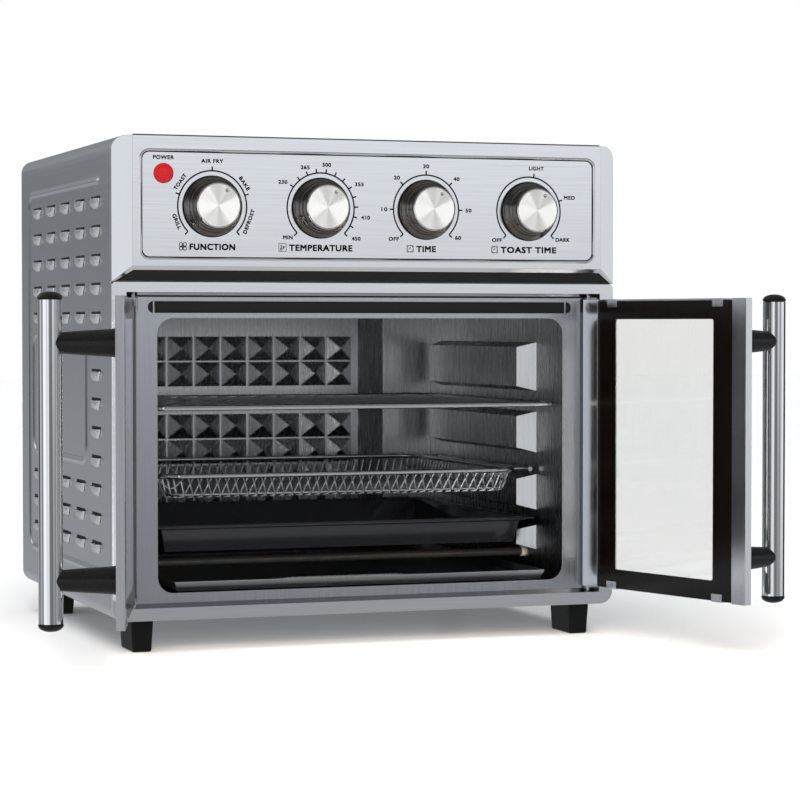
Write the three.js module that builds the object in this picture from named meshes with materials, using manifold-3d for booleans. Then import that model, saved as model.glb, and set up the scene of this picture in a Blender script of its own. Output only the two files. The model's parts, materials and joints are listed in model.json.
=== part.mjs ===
// A countertop toaster oven with two glass French doors, four dials, a top fan, two pairs of
// heating rods, a wire rack, a mesh basket, a baking tray and a crumb tray.
// Millimetres, +Z up, doors facing -Y. X = 0 is the middle, Z = 0 the surface it stands on.
// In the source Y = 0 is the front face of the plate around the cavity's mouth.

import * as THREE from 'three';
import { ConvexGeometry } from 'three/addons/geometries/ConvexGeometry.js';
import { mergeVertices } from 'three/addons/utils/BufferGeometryUtils.js';
import Module from 'manifold-3d';

const wasm = await Module();
wasm.setup();

// ---------------------------------------------------------------- driving dimensions

const gap = 0.3;                 // clearance between pieces that seat on each other
const sheet = 1.0;               // sheet metal of the casing, the plate and the liner

const bodyWidth = 396;           // over the side walls
const bodyHeight = 376.7;        // from the table to the top
const footHeight = 23.5;         // under the base
const bodyDepth = 326.6;         // from the door frame's front to the casing's rear edge
const casingRadius = 10;         // the long bent edges of the casing

const frameDepth = 12;           // the door frame stands this far in front of the plate
const frameLip = 5;              // its outer edge, in front of the casing
const panelHeight = 105.8;       // dial panel, with the slope under it
const frameTop = bodyHeight - panelHeight;
const frameSide = 11;            // frame's rim beside, under and over the recess for the doors
const frameSill = 9.5;
const frameHead = 7.3;
const frameMouthWidth = bodyWidth - 2 * frameSide;
const frameMouthLow = footHeight + frameSill;
const frameMouthHigh = frameTop - frameHead;

const panelProud = 8;            // the dial panel stands this far in front of the door frame
const panelChamfer = 13.7;       // slanted part at each side of its flat face
const panelSlope = 11.4;         // slanted part under it, where the dark strip is
const panelFaceWidth = bodyWidth - 2 * panelChamfer;
const panelFaceLow = frameTop + panelSlope;
const panelWall = 2.0;
const panelRecess = 0.8;         // shallow pressed field that holds the dials
const fieldInset = 5.9;          // from the face's side edges to the field
const fieldUnder = 5.4;          // face under and over the field
const fieldOver = 10.3;
const fieldLow = panelFaceLow + fieldUnder;
const fieldHigh = bodyHeight - fieldOver;
const fieldRadius = 7;

const mouthSide = 37;            // from the casing to the cavity's opening
const mouthSill = 19;
const mouthHead = 26.4;
const mouthWidth = bodyWidth - 2 * mouthSide;
const mouthLow = footHeight + mouthSill;
const mouthHigh = frameTop - mouthHead;
const mouthRadius = 12;
const ventAbove = 4.2;           // long vent slot above the opening
const ventTall = 8.3;
const ventBeyond = 7;            // it is this much longer than the opening at each end
const ventLow = mouthHigh + ventAbove;
const ventHigh = ventLow + ventTall;
const ventWidth = mouthWidth + 2 * ventBeyond;

const cavityPlay = 2;            // cavity wall, outside the opening's edge
const cavityBehind = 26.6;       // body's depth that the cavity leaves free
const cavityOver = 16.8;
const cavityUnder = 12.8;
const cavityWidth = mouthWidth + 2 * cavityPlay;
const cavityDepth = bodyDepth - cavityBehind;
const cavityHigh = frameTop + cavityOver;
const cavityLow = footHeight + cavityUnder;
const bulgeDepth = 20;           // the back wall is pressed rearwards in its middle
const bulgeHalf = 102;           // half-width of its flat part
const bulgeSlope = 18;           // width of the slope beside it

const doorSide = 4.1;            // door's hinge edge, inside the frame's mouth
const doorMeeting = 1.7;         // half the gap where the two doors meet
const doorEnd = 4.4;             // room under and over a door
const doorWidth = frameMouthWidth / 2 - doorSide - doorMeeting;
const doorLow = frameMouthLow + doorEnd;
const doorHeight = frameMouthHigh - doorEnd - doorLow;
const doorThickness = frameDepth / 2;
const doorOpenAngle = 106.5;     // degrees, the pose that the doors are stored in
const pinFromEdge = 2.5;         // hinge pin to the door's hinge edge
const pinToPlate = 4.8;          // hinge pin in front of the plate
const pinX = frameMouthWidth / 2 - doorSide - pinFromEdge;    // hinge pin from the middle
const pinRadius = 1.5;
const pinClearance = 0.25;
const doorEdgeStrip = 17.3;      // steel folded over the hinge edge
const doorEndStrip = 14.4;       // steel folded over the free edge
const windowFromHinge = 36.6;    // clear glass, from the hinge edge
const windowFromFree = 35.5;     // and from the free edge
const windowEnd = 15.3;          // and from the door's ends
const windowToHinge = doorWidth - windowFromFree;
const windowLow = doorLow + windowEnd;
const windowHigh = doorLow + doorHeight - windowEnd;
const glassThickness = 3.4;
const tabWidth = 11;
const tabLap = 6;
const tabFromHinge = 33.8;       // middle of the tabs, from the door's two edges
const tabFromFree = 30.2;
const tabPlaces = [tabFromHinge, doorWidth - tabFromFree];

const barRadius = 8.25;
const barShort = 4.2;            // bar is this much shorter than the door
const barFromFree = 23.4;        // bar axis, from the door's free edge
const barLength = doorHeight - barShort;
const barFromHinge = doorWidth - barFromFree;
const barFromInside = 50.7;      // bar axis, from the door's inner face
const capHeight = 4.6;
const standoffFromEnd = 29.3;    // standoff's axis, from the bar's end
const standoffSpacing = barLength - 2 * standoffFromEnd;
const standoffRadius = [9.65, 7.3];

const knobStep = 83;             // from one dial to the next
const knobPlaces = [-1.5, -0.5, 0.5, 1.5].map((steps) => steps * knobStep);
const knobNames = ['function', 'temperature', 'time', 'toast'];
const switchNames = ['function_switch', 'thermostat', 'timer', 'toast_timer'];
const knobUnderTop = 50.7;
const knobHeightOnPanel = bodyHeight - knobUnderTop;
const knobRadius = 21.5;
const knobCapRadius = 16.5;
const knobHeight = 18;
const knobPointerAngle = 29;     // degrees clockwise from straight up
const lampFromField = [17.4, 16.8];        // from the field's left and upper edges
const lampX = -(panelFaceWidth / 2 - fieldInset - lampFromField[0]);
const lampZ = fieldHigh - lampFromField[1];
const lampRadius = 7.3;

const footSize = [16.7, 39];
const footInset = 16;            // feet, from the side walls
const footOuterX = bodyWidth / 2 - footInset;
const footFrontY = -3.5;
const footRearInset = 14;        // rear feet, from the casing's rear edge

const ribDepth = 14;             // shelf ribs pressed into the side walls
const drawnMouth = 202;          // shelf and rib heights are written for a mouth this high
const inMouth = (height) => mouthLow + (height * (mouthHigh - mouthLow)) / drawnMouth;
const ribRows = [[18.5, 38], [50, 78.5], [95.5, 128.5], [144.5, 183.5]].map((row) => row.map(inMouth));
const ribFront = 57;
const ribBehind = 28;            // cavity's depth behind the ribs
const ribRear = cavityDepth - ribBehind;
const shelfSide = 1.0;           // play between a shelf and the cavity mouth, each side

const rackZ = inMouth(135.5);
const rackFront = 8;
const rackShort = 16;
const rackDepth = cavityDepth - rackShort;
const rackWire = 2.0;
const rackWires = 17;
const basketRimZ = inMouth(84.5);
const basketDeep = 20;
const basketFront = 50;
const basketShort = 64;          // basket, shorter than the cavity
const basketSide = 19;           // basket's wall, inside the mouth's edge
const basketDepth = cavityDepth - basketShort;
const basketHalf = mouthWidth / 2 - basketSide;
const trayRimZ = inMouth(44.5);
const trayDeep = 19;
const trayFront = 50;
const trayShort = 60;
const traySide = 15;
const trayDepth = cavityDepth - trayShort;
const trayHalf = mouthWidth / 2 - traySide;
const panWall = 1.2;
const crumbSide = 13;
const crumbShort = 10;
const crumbHalf = mouthWidth / 2 - crumbSide;
const crumbFront = 3;
const crumbDepth = cavityDepth - crumbShort;
const crumbHeight = 7;

const fanBehindMiddle = 5;
const fanY = cavityDepth / 2 + fanBehindMiddle;
const fanRadius = 62;
const guardRadius = 78;
const guardDeep = 24;
const motorRadius = 30;
const motorHeight = 38;
const shaftRadius = 3;

const rodRadius = 4;
const rodDrop = 19.7;            // upper rods under the roof, lower rods over the floor
const rodRise = 21;
const rodFromGuard = 11;         // upper rods, clear of the fan guard
const rodFromEnds = 85;          // lower rods, from the cavity's front and back
const upperRod = guardRadius + rodFromGuard + rodRadius;
const rodPlaces = [
  [fanY - upperRod, cavityHigh - rodDrop], [fanY + upperRod, cavityHigh - rodDrop],
  [rodFromEnds, cavityLow + rodRise], [cavityDepth - rodFromEnds, cavityLow + rodRise],
];
const rodNames = ['heater_top_front', 'heater_top_rear', 'heater_bottom_front', 'heater_bottom_rear'];
const rodOverhang = 10;

const glandFromSide = 48;
const glandX = bodyWidth / 2 - glandFromSide;
const glandZ = 40;
const glandRadius = 8;

// ---------------------------------------------------------------- worked-out places

const halfBody = bodyWidth / 2;
const frameFront = -frameDepth;
const panelFront = frameFront - panelProud;
const lipRear = frameFront + frameLip;
const casingFront = lipRear + gap;
const casingRear = frameFront + bodyDepth;
const baseZ = footHeight + gap;
const plateRear = sheet;
const linerFront = plateRear + gap;
const halfCavity = cavityWidth / 2;
const cavityRear = cavityDepth;
const halfMouth = mouthWidth / 2;
const shelfHalf = halfMouth - shelfSide;
const backFront = casingRear + gap;
const dialSeat = panelFront + panelRecess;

// ---------------------------------------------------------------- shapes

function solid(geometry) {
  const bare = geometry.clone();
  bare.deleteAttribute('normal');
  bare.deleteAttribute('uv');
  const merged = mergeVertices(bare, 1e-4);
  const index = merged.index.array;
  const kept = [];
  for (let i = 0; i < index.length; i += 3) {
    const [a, b, c] = [index[i], index[i + 1], index[i + 2]];
    if (a !== b && b !== c && c !== a) kept.push(a, b, c);
  }
  return new wasm.Manifold(new wasm.Mesh({
    numProp: 3,
    vertProperties: new Float32Array(merged.attributes.position.array),
    triVerts: new Uint32Array(kept),
  }));
}

function toGeometry(manifold) {
  const mesh = manifold.getMesh();
  const geometry = new THREE.BufferGeometry();
  geometry.setAttribute('position', new THREE.BufferAttribute(new Float32Array(mesh.vertProperties), 3));
  geometry.setIndex(new THREE.BufferAttribute(new Uint32Array(mesh.triVerts), 1));
  geometry.computeVertexNormals();
  return geometry;
}

function slab(x, y, z) {
  const geometry = new THREE.BoxGeometry(x[1] - x[0], y[1] - y[0], z[1] - z[0]);
  geometry.translate((x[0] + x[1]) / 2, (y[0] + y[1]) / 2, (z[0] + z[1]) / 2);
  return solid(geometry);
}

// A rectangle whose corners are rounded by [low left, low right, high right, high left].
function rounded(a, b, radii) {
  const [ll, lr, hr, hl] = Array.isArray(radii) ? radii : [radii, radii, radii, radii];
  const shape = new THREE.Shape();
  shape.moveTo(a[0] + ll, b[0]);
  shape.lineTo(a[1] - lr, b[0]);
  if (lr) shape.absarc(a[1] - lr, b[0] + lr, lr, -Math.PI / 2, 0);
  shape.lineTo(a[1], b[1] - hr);
  if (hr) shape.absarc(a[1] - hr, b[1] - hr, hr, 0, Math.PI / 2);
  shape.lineTo(a[0] + hl, b[1]);
  if (hl) shape.absarc(a[0] + hl, b[1] - hl, hl, Math.PI / 2, Math.PI);
  shape.lineTo(a[0], b[0] + ll);
  if (ll) shape.absarc(a[0] + ll, b[0] + ll, ll, Math.PI, Math.PI * 1.5);
  return shape;
}

function polygon(points) {
  return new THREE.Shape(points.map(([a, b]) => new THREE.Vector2(a, b)));
}

function extrude(shape, length, curveSegments) {
  return new THREE.ExtrudeGeometry(shape, { depth: length, bevelEnabled: false, curveSegments });
}

// Outlines drawn in XZ, YZ and XY, extruded along the axis that is left.
function alongY(shape, y, curveSegments = 8) {
  const geometry = extrude(shape, y[1] - y[0], curveSegments);
  geometry.rotateX(Math.PI / 2);
  geometry.translate(0, y[1], 0);
  return solid(geometry);
}

function alongX(shape, x, curveSegments = 5) {
  const geometry = extrude(shape, x[1] - x[0], curveSegments);
  geometry.applyMatrix4(new THREE.Matrix4().makeBasis(
    new THREE.Vector3(0, 1, 0), new THREE.Vector3(0, 0, 1), new THREE.Vector3(1, 0, 0)));
  geometry.translate(x[0], 0, 0);
  return solid(geometry);
}

function alongZ(shape, z, curveSegments = 5) {
  const geometry = extrude(shape, z[1] - z[0], curveSegments);
  geometry.translate(0, 0, z[0]);
  return solid(geometry);
}

// A round bar along one axis, from one place on it to another, with a radius at each end.
function bar(axis, centre, ends, radii, segments = 24) {
  const [r0, r1] = Array.isArray(radii) ? radii : [radii, radii];
  const geometry = new THREE.CylinderGeometry(r1, r0, ends[1] - ends[0], segments);
  if (axis === 'x') geometry.rotateZ(-Math.PI / 2);
  if (axis === 'z') geometry.rotateX(Math.PI / 2);
  const middle = (ends[0] + ends[1]) / 2;
  const place = { x: [middle, ...centre], y: [centre[0], middle, centre[1]], z: [...centre, middle] };
  geometry.translate(...place[axis]);
  return solid(geometry);
}

// A turned piece about Z from [radius, height] points, then pointed along -Y or left upright.
function turned(points, segments, towardsFront = false) {
  const geometry = new THREE.LatheGeometry(points.map(([r, h]) => new THREE.Vector2(r, h)), segments);
  geometry.rotateX(Math.PI / 2);
  if (towardsFront) geometry.rotateX(Math.PI / 2);
  return solid(geometry);
}

// The smallest block around two rectangles that face each other.
function taper(corners) {
  return solid(new ConvexGeometry(corners.map((p) => new THREE.Vector3(...p))));
}

function rectangle(plane, at, a, b) {
  const place = { x: (u, v) => [at, u, v], y: (u, v) => [u, at, v], z: (u, v) => [u, v, at] }[plane];
  return [place(a[0], b[0]), place(a[1], b[0]), place(a[1], b[1]), place(a[0], b[1])];
}

const both = (half, inset = 0) => [-half + inset, half - inset];
const joined = (solids) => solids.reduce((sum, next) => sum.add(next));

// ---------------------------------------------------------------- finishes

function finish(color, roughness, metalness, extra = {}) {
  return new THREE.MeshStandardMaterial({ color, roughness, metalness, ...extra });
}

const brushedSteel = finish(0xc4c8ce, 0.35, 0.9);
const casingSteel = finish(0x9a9da3, 0.4, 0.9);
const chrome = finish(0xdadce0, 0.12, 1.0);
const linerSteel = finish(0xb9bcc0, 0.35, 0.85);
const blackPlastic = finish(0x17181a, 0.5, 0.0);
const blackEnamel = finish(0x1c1c1e, 0.3, 0.2);
const tintedGlass = finish(0xcfd4d6, 0.05, 0.0, { transparent: true, opacity: 0.35 });
const redLens = finish(0xe3202b, 0.35, 0.0);
const wireChrome = finish(0xc8cace, 0.2, 1.0);
const heaterSheath = finish(0x8b8d90, 0.45, 0.6);

const oven = new THREE.Group();

function place(name, manifold, material, parent = oven) {
  const mesh = new THREE.Mesh(toGeometry(manifold), material);
  mesh.name = name;
  parent.add(mesh);
  return mesh;
}

// ---------------------------------------------------------------- casing

function casingOutline(inset) {
  const radius = casingRadius - inset;
  return rounded(both(halfBody, inset), [baseZ + inset, bodyHeight - inset], radius);
}

function makeCasing() {
  const lip = 22;                // folded in under the sides
  const shell = alongY(casingOutline(0), [casingFront, casingRear])
    .subtract(alongY(casingOutline(sheet), [casingFront - 1, casingRear + 1]))
    .subtract(slab(both(halfBody, lip), [casingFront - 1, casingRear + 1], [baseZ - 1, baseZ + sheet + 1]));
  place('outer_shell', shell, casingSteel);

  const baseInset = sheet + gap;
  const base = alongZ(rounded(both(halfBody, casingRadius), [gap + sheet, casingRear - gap], 2),
    [baseZ + baseInset, baseZ + baseInset + sheet]);
  place('base_pan', base, casingSteel);
}

function bulgeBlock(grow, from, to) {
  const flat = bulgeHalf + grow;
  const wide = flat + bulgeSlope;
  const low = 60 - grow;
  const high = 262 + grow;
  return taper([
    ...rectangle('y', from, both(wide), [low - bulgeSlope, high + bulgeSlope]),
    ...rectangle('y', to, both(flat), [low, high]),
  ]);
}

function makeBack() {
  const outer = alongY(casingOutline(0), [backFront, backFront + sheet]);
  const skin = 12 + sheet;       // the pressed bulge stands this far behind the casing
  const grow = 6;
  const back = outer
    .add(bulgeBlock(grow, backFront + sheet / 2, backFront + skin))
    .subtract(bulgeBlock(grow - sheet, backFront - sheet, backFront + skin - sheet))
    .subtract(bar('y', [glandX, glandZ], [backFront - 2, backFront + 4], glandRadius - 1.7));
  place('back_panel', back, casingSteel);

  const neck = glandRadius - 2;
  const gland = turned([
    [3.4, -3], [neck, -3], [neck, sheet + gap], [glandRadius, sheet + gap],
    [glandRadius, 4], [neck - 0.5, 12], [3.4, 12], [3.4, -3],
  ], 16, true);
  const fitted = place('cord_gland', gland, blackPlastic);
  fitted.rotation.z = Math.PI;
  fitted.position.set(glandX, backFront, glandZ);
}

function makeFeet() {
  const [width, length] = footSize;
  const draft = 1.2;
  const rows = {
    front: [footFrontY, footFrontY + length],
    rear: [casingRear - footRearInset - length, casingRear - footRearInset],
  };
  for (const [row, y] of Object.entries(rows)) {
    for (const side of [-1, 1]) {
      const x = [side * footOuterX, side * (footOuterX - width)].sort((a, b) => a - b);
      const foot = taper([
        ...rectangle('z', footHeight, x, y),
        ...rectangle('z', 0, [x[0] + draft, x[1] - draft], [y[0] + draft, y[1] - draft]),
      ]);
      place(`${row}_${side < 0 ? 'left' : 'right'}_foot`, foot, blackPlastic);
    }
  }
}

// ---------------------------------------------------------------- front

function panelBlock(inset) {
  const half = halfBody - inset;
  const faceHalf = panelFaceWidth / 2 - inset / 2;
  const front = panelFront + inset;
  const low = frameTop + gap;
  const radius = casingRadius - inset;
  const outline = rounded([-half, half], [low, bodyHeight - inset], [0, 0, radius, radius]);
  const rear = inset ? lipRear + 1 : lipRear;
  const plan = polygon([[-half, rear], [-half, frameFront], [-faceHalf, front],
    [faceHalf, front], [half, frameFront], [half, rear]]);
  return alongY(outline, [front, rear]).intersect(alongZ(plan, [low - 1, bodyHeight + 1]));
}

// The underside of the dial panel slopes back to the door frame: depth is how far inside it.
function underPanel(depth) {
  const low = frameTop + gap - 2;
  const slope = (panelFaceLow - frameTop - gap) / panelProud;
  const at = (y) => frameTop + gap + (frameFront - y) * slope + depth;
  return alongX(polygon([[panelFront - 2, low - 40], [frameFront, low - 40], [frameFront, at(frameFront)],
    [panelFront - 2, at(panelFront - 2)]]), both(halfBody + 1));
}

function makePanel() {
  const rim = slab(both(halfBody, panelWall), [frameFront, lipRear + 1],
    [frameTop - 1, frameTop + gap + panelWall]);
  let panel = panelBlock(0).subtract(panelBlock(panelWall)).subtract(underPanel(0)).subtract(rim);
  const half = panelFaceWidth / 2 - fieldInset;
  const field = rounded(both(half), [fieldLow, fieldHigh], fieldRadius);
  panel = panel.subtract(alongY(field, [panelFront - 1, dialSeat]));
  for (const x of knobPlaces) {
    panel = panel.subtract(bar('y', [x, knobHeightOnPanel], [panelFront - 1, panelFront + 4], 5.4, 16));
  }
  panel = panel.subtract(bar('y', [lampX, lampZ], [panelFront - 1, panelFront + 4], lampRadius - 1.3, 20));
  place('control_panel', panel, brushedSteel);

  const stripWall = 1.6;
  const strip = panelBlock(panelWall + gap).intersect(underPanel(stripWall)).subtract(underPanel(0))
    .subtract(slab(both(halfBody), [frameFront - gap, lipRear + 2], [frameTop - 3, bodyHeight]));
  place('vent_strip', strip, blackPlastic);

  const lens = turned([[0, -6], [lampRadius - 1.6, -6], [lampRadius - 1.6, -gap],
    [lampRadius, -gap], [lampRadius, 1.2], [lampRadius - 1.4, 2.2], [0, 2.6]], 24, true);
  place('power_lamp', lens, redLens).position.set(lampX, dialSeat - 2 * gap, lampZ);
}

function makeFrame() {
  const low = baseZ;
  const inner = sheet + gap;
  const corners = [casingRadius, casingRadius, 3, 3];
  const tucked = [casingRadius - inner, casingRadius - inner, 2, 2];
  const halfMouthFrame = frameMouthWidth / 2;
  const sill = frameMouthLow + 2.4;
  const head = frameMouthHigh - 2.9;
  const mouth = taper([
    ...rectangle('y', frameFront - 0.01, both(halfMouthFrame), [frameMouthLow, frameMouthHigh]),
    ...rectangle('y', 0, both(halfMouthFrame), [sill, head]),
  ]);
  let frame = alongY(rounded(both(halfBody), [low, frameTop], corners), [frameFront, lipRear])
    .add(alongY(rounded(both(halfBody, inner), [low + inner, frameTop - gap], tucked), [lipRear - 1, -gap]))
    .subtract(mouth);
  for (const side of [-1, 1]) {
    frame = frame.subtract(bar('z', [side * pinX, -pinToPlate], [low + 1.5, frameTop - 1.5],
      pinRadius + 0.05, 16));
  }
  place('front_ring', frame, brushedSteel);

  const plateZ = [baseZ + 2 * inner + sheet, panelFaceLow + 8];
  const plate = alongY(casingOutline(inner), [0, plateRear])
    .intersect(slab(both(halfBody), [-1, plateRear + 1], plateZ))
    .subtract(alongY(rounded(both(halfMouth), [mouthLow, mouthHigh], mouthRadius), [-1, 2]))
    .subtract(alongY(rounded(both(ventWidth / 2), [ventLow, ventHigh], 4), [-1, 2], 3));
  place('front_plate', plate, linerSteel);
}

// ---------------------------------------------------------------- cavity

function makeSideWall(side) {
  const inside = side * halfCavity;
  const outside = side * (halfCavity + sheet);
  const x = [inside, outside].sort((a, b) => a - b);
  let wall = slab(x, [linerFront, cavityRear], [cavityLow, cavityHigh]);
  const slope = 8;
  for (const [low, high] of ribRows) {
    const block = (inset, base, top) => taper([
      ...rectangle('x', base, [ribFront + inset, ribRear - inset], [low + inset, high - inset]),
      ...rectangle('x', top, [ribFront + slope, ribRear - slope], [low + slope / 2, high - slope / 2]),
    ]);
    wall = wall
      .add(block(0, side * (halfCavity + sheet / 2), side * (halfCavity - ribDepth)))
      .subtract(block(sheet, side * (halfCavity + sheet + 0.5), side * (halfCavity - ribDepth + sheet)));
  }
  for (const [y, z] of rodPlaces) {
    wall = wall.subtract(bar('x', [y, z], both(halfCavity + 20), rodRadius + gap, 12));
  }
  place(`cavity_${side < 0 ? 'left' : 'right'}_wall`, wall, linerSteel);
}

function makeCavity() {
  makeSideWall(-1);
  makeSideWall(1);
  const y = [linerFront, cavityRear];
  const roof = slab(both(halfCavity + sheet), y, [cavityHigh + gap, cavityHigh + gap + sheet])
    .subtract(bar('z', [0, fanY], [cavityHigh, cavityHigh + 3], shaftRadius + 2, 16));
  place('cavity_roof', roof, linerSteel);
  place('cavity_floor', slab(both(halfCavity + sheet), y, [cavityLow - gap - sheet, cavityLow - gap]), linerSteel);

  const backFace = cavityRear + gap;
  const wallZ = [cavityLow - gap - sheet, cavityHigh + gap + sheet];
  let back = slab(both(halfCavity + sheet), [backFace, backFace + sheet], wallZ)
    .add(bulgeBlock(0, backFace + sheet / 2, backFace + bulgeDepth))
    .subtract(bulgeBlock(-sheet, backFace - 0.5, backFace + bulgeDepth - sheet));
  back = back.add(pyramids(backFace + bulgeDepth - sheet));
  place('cavity_back_wall', back, linerSteel);
}

// Pressed pyramids that scatter the heat, in rows across the bulge's flat floor.
function pyramids(face) {
  const [width, height, tall] = [24, 22, 6];
  const columns = Math.floor((2 * bulgeHalf) / width);
  const rows = [219, 197, 152, 130, 108, 86];
  const all = [];
  for (const z of rows) {
    for (let i = 0; i < columns; i += 1) {
      const x = (i - (columns - 1) / 2) * width;
      all.push(taper([
        ...rectangle('y', face + sheet / 2, [x - width / 2, x + width / 2], [z - height / 2, z + height / 2]),
        [x, face - tall, z],
      ]));
    }
  }
  return joined(all);
}

function makeHeaters() {
  rodPlaces.forEach(([y, z], i) => {
    const reach = halfCavity + sheet + rodOverhang;
    place(rodNames[i], bar('x', [y, z], both(reach), rodRadius, 16), heaterSheath);
  });
}

function makeFan() {
  const top = cavityHigh - gap;
  const low = top - guardDeep;
  const dish = [[guardRadius + 8, top], [guardRadius + 8, top - sheet], [guardRadius, top - sheet],
    [guardRadius - 8, low], [0, low], [0, low + sheet], [guardRadius - 8.7, low + sheet],
    [guardRadius - 1.2, top]];
  let guard = turned([...dish, dish[0]].reverse(), 32);
  const slots = 12;
  for (let i = 0; i < slots; i += 1) {
    const ray = new THREE.BoxGeometry(34, 7, 6);
    ray.translate(38, 0, low);
    ray.rotateZ((i / slots) * 2 * Math.PI);
    guard = guard.subtract(solid(ray));
  }
  place('fan_guard', guard, linerSteel).position.set(0, fanY, 0);

  const bladeHigh = top - 4;
  const bladeLow = low + sheet + 4;
  let rotor = turned([[0, bladeHigh - 1.2], [fanRadius - 10, bladeHigh - 1.2], [fanRadius - 10, bladeHigh],
    [8, bladeHigh], [8, bladeHigh + 1], [shaftRadius, bladeHigh + 1],
    [shaftRadius, cavityHigh + gap + sheet + 6], [0, cavityHigh + gap + sheet + 6]], 24);
  const blades = 8;
  for (let i = 0; i < blades; i += 1) {
    const blade = new THREE.BoxGeometry(42, 1.2, bladeHigh - bladeLow);
    blade.rotateZ(0.5);
    blade.translate(38, 0, (bladeHigh + bladeLow) / 2 - 0.5);
    blade.rotateZ((i / blades) * 2 * Math.PI);
    rotor = rotor.add(solid(blade));
  }
  place('fan_rotor', rotor, linerSteel).position.set(0, fanY, 0);

  const seat = cavityHigh + 2 * gap + sheet;
  const motor = bar('z', [0, fanY], [seat, seat + motorHeight], motorRadius, 32)
    .subtract(bar('z', [0, fanY], [seat - 1, seat + 10], shaftRadius + 1, 16));
  place('fan_motor', motor, casingSteel);
}

// ---------------------------------------------------------------- dials

function makeDials() {
  knobPlaces.forEach((x, i) => {
    const back = panelFront + panelWall + gap;
    const body = bar('y', [x, knobHeightOnPanel], [back, back + 22], 15, 24)
      .add(bar('y', [x, knobHeightOnPanel], [dialSeat - 2, back + 2], 5, 20))
      .subtract(bar('y', [x, knobHeightOnPanel], [dialSeat - 3, back + 16], shaftRadius + gap, 16));
    place(switchNames[i], body, blackPlastic);

    const grip = knobCapRadius;
    const profile = [
      [0, -16], [shaftRadius, -16], [shaftRadius, 3.5], [7, 3.5], [7, 0], [knobRadius - 0.6, 0],
      [knobRadius, 0.8], [knobRadius, 2.6], [knobRadius - 1.2, 4], [grip + 1.4, 6], [grip + 1.4, 7.2],
      [grip, 8.4], [grip, knobHeight - 1.4], [grip - 1.4, knobHeight], [0, knobHeight - 0.4],
    ];
    const pointer = THREE.MathUtils.degToRad(knobPointerAngle);
    const away = knobCapRadius * 0.82;
    const dimple = bar('y', [away * Math.sin(pointer), away * Math.cos(pointer)],
      [-knobHeight - 1, -knobHeight + 0.8], 1.1, 10);
    const knob = turned(profile, 28, true).subtract(dimple);
    place(`${knobNames[i]}_knob`, knob, chrome).position.set(x, dialSeat - gap, knobHeightOnPanel);
  });
}

// ---------------------------------------------------------------- doors

function makeDoor(side) {
  const name = side < 0 ? 'left' : 'right';
  const hinge = new THREE.Group();
  hinge.position.set(side * pinX, -pinToPlate, doorLow + doorHeight / 2);
  hinge.rotation.z = side * THREE.MathUtils.degToRad(doorOpenAngle);
  const door = new THREE.Group();
  door.rotation.y = side < 0 ? Math.PI : 0;
  hinge.add(door);
  oven.add(hinge);

  // In the door: X towards the hinge edge, -Y out of the oven, Z = 0 at half height.
  const at = (fromHinge) => pinFromEdge - fromHinge;
  const middle = doorLow + doorHeight / 2;
  const half = doorHeight / 2;
  const outer = -doorThickness / 2;
  const inner = doorThickness / 2;
  const skin = (doorThickness - glassThickness - 2 * gap) / 2;
  const x = [at(doorWidth), at(0)];
  const margin = 1.5;
  const window = [at(windowToHinge) - margin, at(windowFromHinge) + margin];
  const windowZ = [windowLow - middle - margin, windowHigh - middle + margin];

  let frame = slab(x, [outer, inner], both(half))
    .subtract(slab([x[0] + skin, x[1] - 2 * pinFromEdge], [outer + skin, inner - skin], both(half + 1)))
    .subtract(slab([at(doorWidth - doorEndStrip), at(doorEdgeStrip)], [outer + skin, inner + 1], both(half + 1)))
    .subtract(alongY(rounded(window, windowZ, 3), [outer - 1, outer + skin + 0.1], 3));
  for (const place of tabPlaces) {
    const tab = [at(place + tabWidth / 2), at(place - tabWidth / 2)];
    for (const end of [-1, 1]) {
      const edge = [end * half, end * (half - skin)].sort((a, b) => a - b);
      const lap = [end * half, end * (half - tabLap)].sort((a, b) => a - b);
      frame = frame.add(slab(tab, [outer, inner], edge)).add(slab(tab, [inner - skin, inner], lap));
    }
  }
  for (const end of [-1, 1]) {
    const hole = [end * (half + 1), end * (half - 11)].sort((a, b) => a - b);
    frame = frame.subtract(bar('z', [0, 0], hole, pinRadius + pinClearance, 16));
  }
  place(`${name}_door_frame`, frame, brushedSteel, door);

  const glass = slab([x[0] + skin + gap, x[1] - 2 * pinFromEdge - gap],
    [outer + skin + gap, inner - skin - gap], both(half, skin + gap));
  place(`${name}_door_glass`, glass, tintedGlass, door);

  const barX = at(barFromHinge);
  const barY = inner - barFromInside;
  place(`${name}_handle_bar`, bar('z', [barX, barY], both(barLength / 2), barRadius, 32), chrome, door);
  for (const end of [-1, 1]) {
    const which = end * (side < 0 ? -1 : 1) > 0 ? 'top' : 'bottom';
    const z = (end * standoffSpacing) / 2;
    const standoff = bar('y', [barX, z], [barY, outer - gap], [standoffRadius[1], standoffRadius[0]], 28)
      .subtract(bar('z', [barX, barY], [z - 20, z + 20], barRadius + gap, 32));
    place(`${name}_handle_standoff_${which}`, standoff, blackPlastic, door);

    const dome = turned([[0, gap], [barRadius, gap], [barRadius * 0.96, gap + 1.2],
      [barRadius * 0.72, capHeight - 1.1], [0, capHeight + gap]], 24);
    const cap = place(`${name}_handle_cap_${which}`, dome, blackPlastic, door);
    cap.position.set(barX, barY, (end * barLength) / 2);
    if (end < 0) cap.rotation.x = Math.PI;
  }

  const mouthGap = [doorLow, doorLow + doorHeight];
  const pins = { bottom: [baseZ + 2, mouthGap[0] + 9], top: [mouthGap[1] - 9, frameTop - 2] };
  for (const [end, z] of Object.entries(pins)) {
    place(`${name}_hinge_pin_${end}`, bar('z', [side * pinX, -pinToPlate], z, pinRadius - 0.1, 16), chrome);
  }
}

// ---------------------------------------------------------------- shelves

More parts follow.
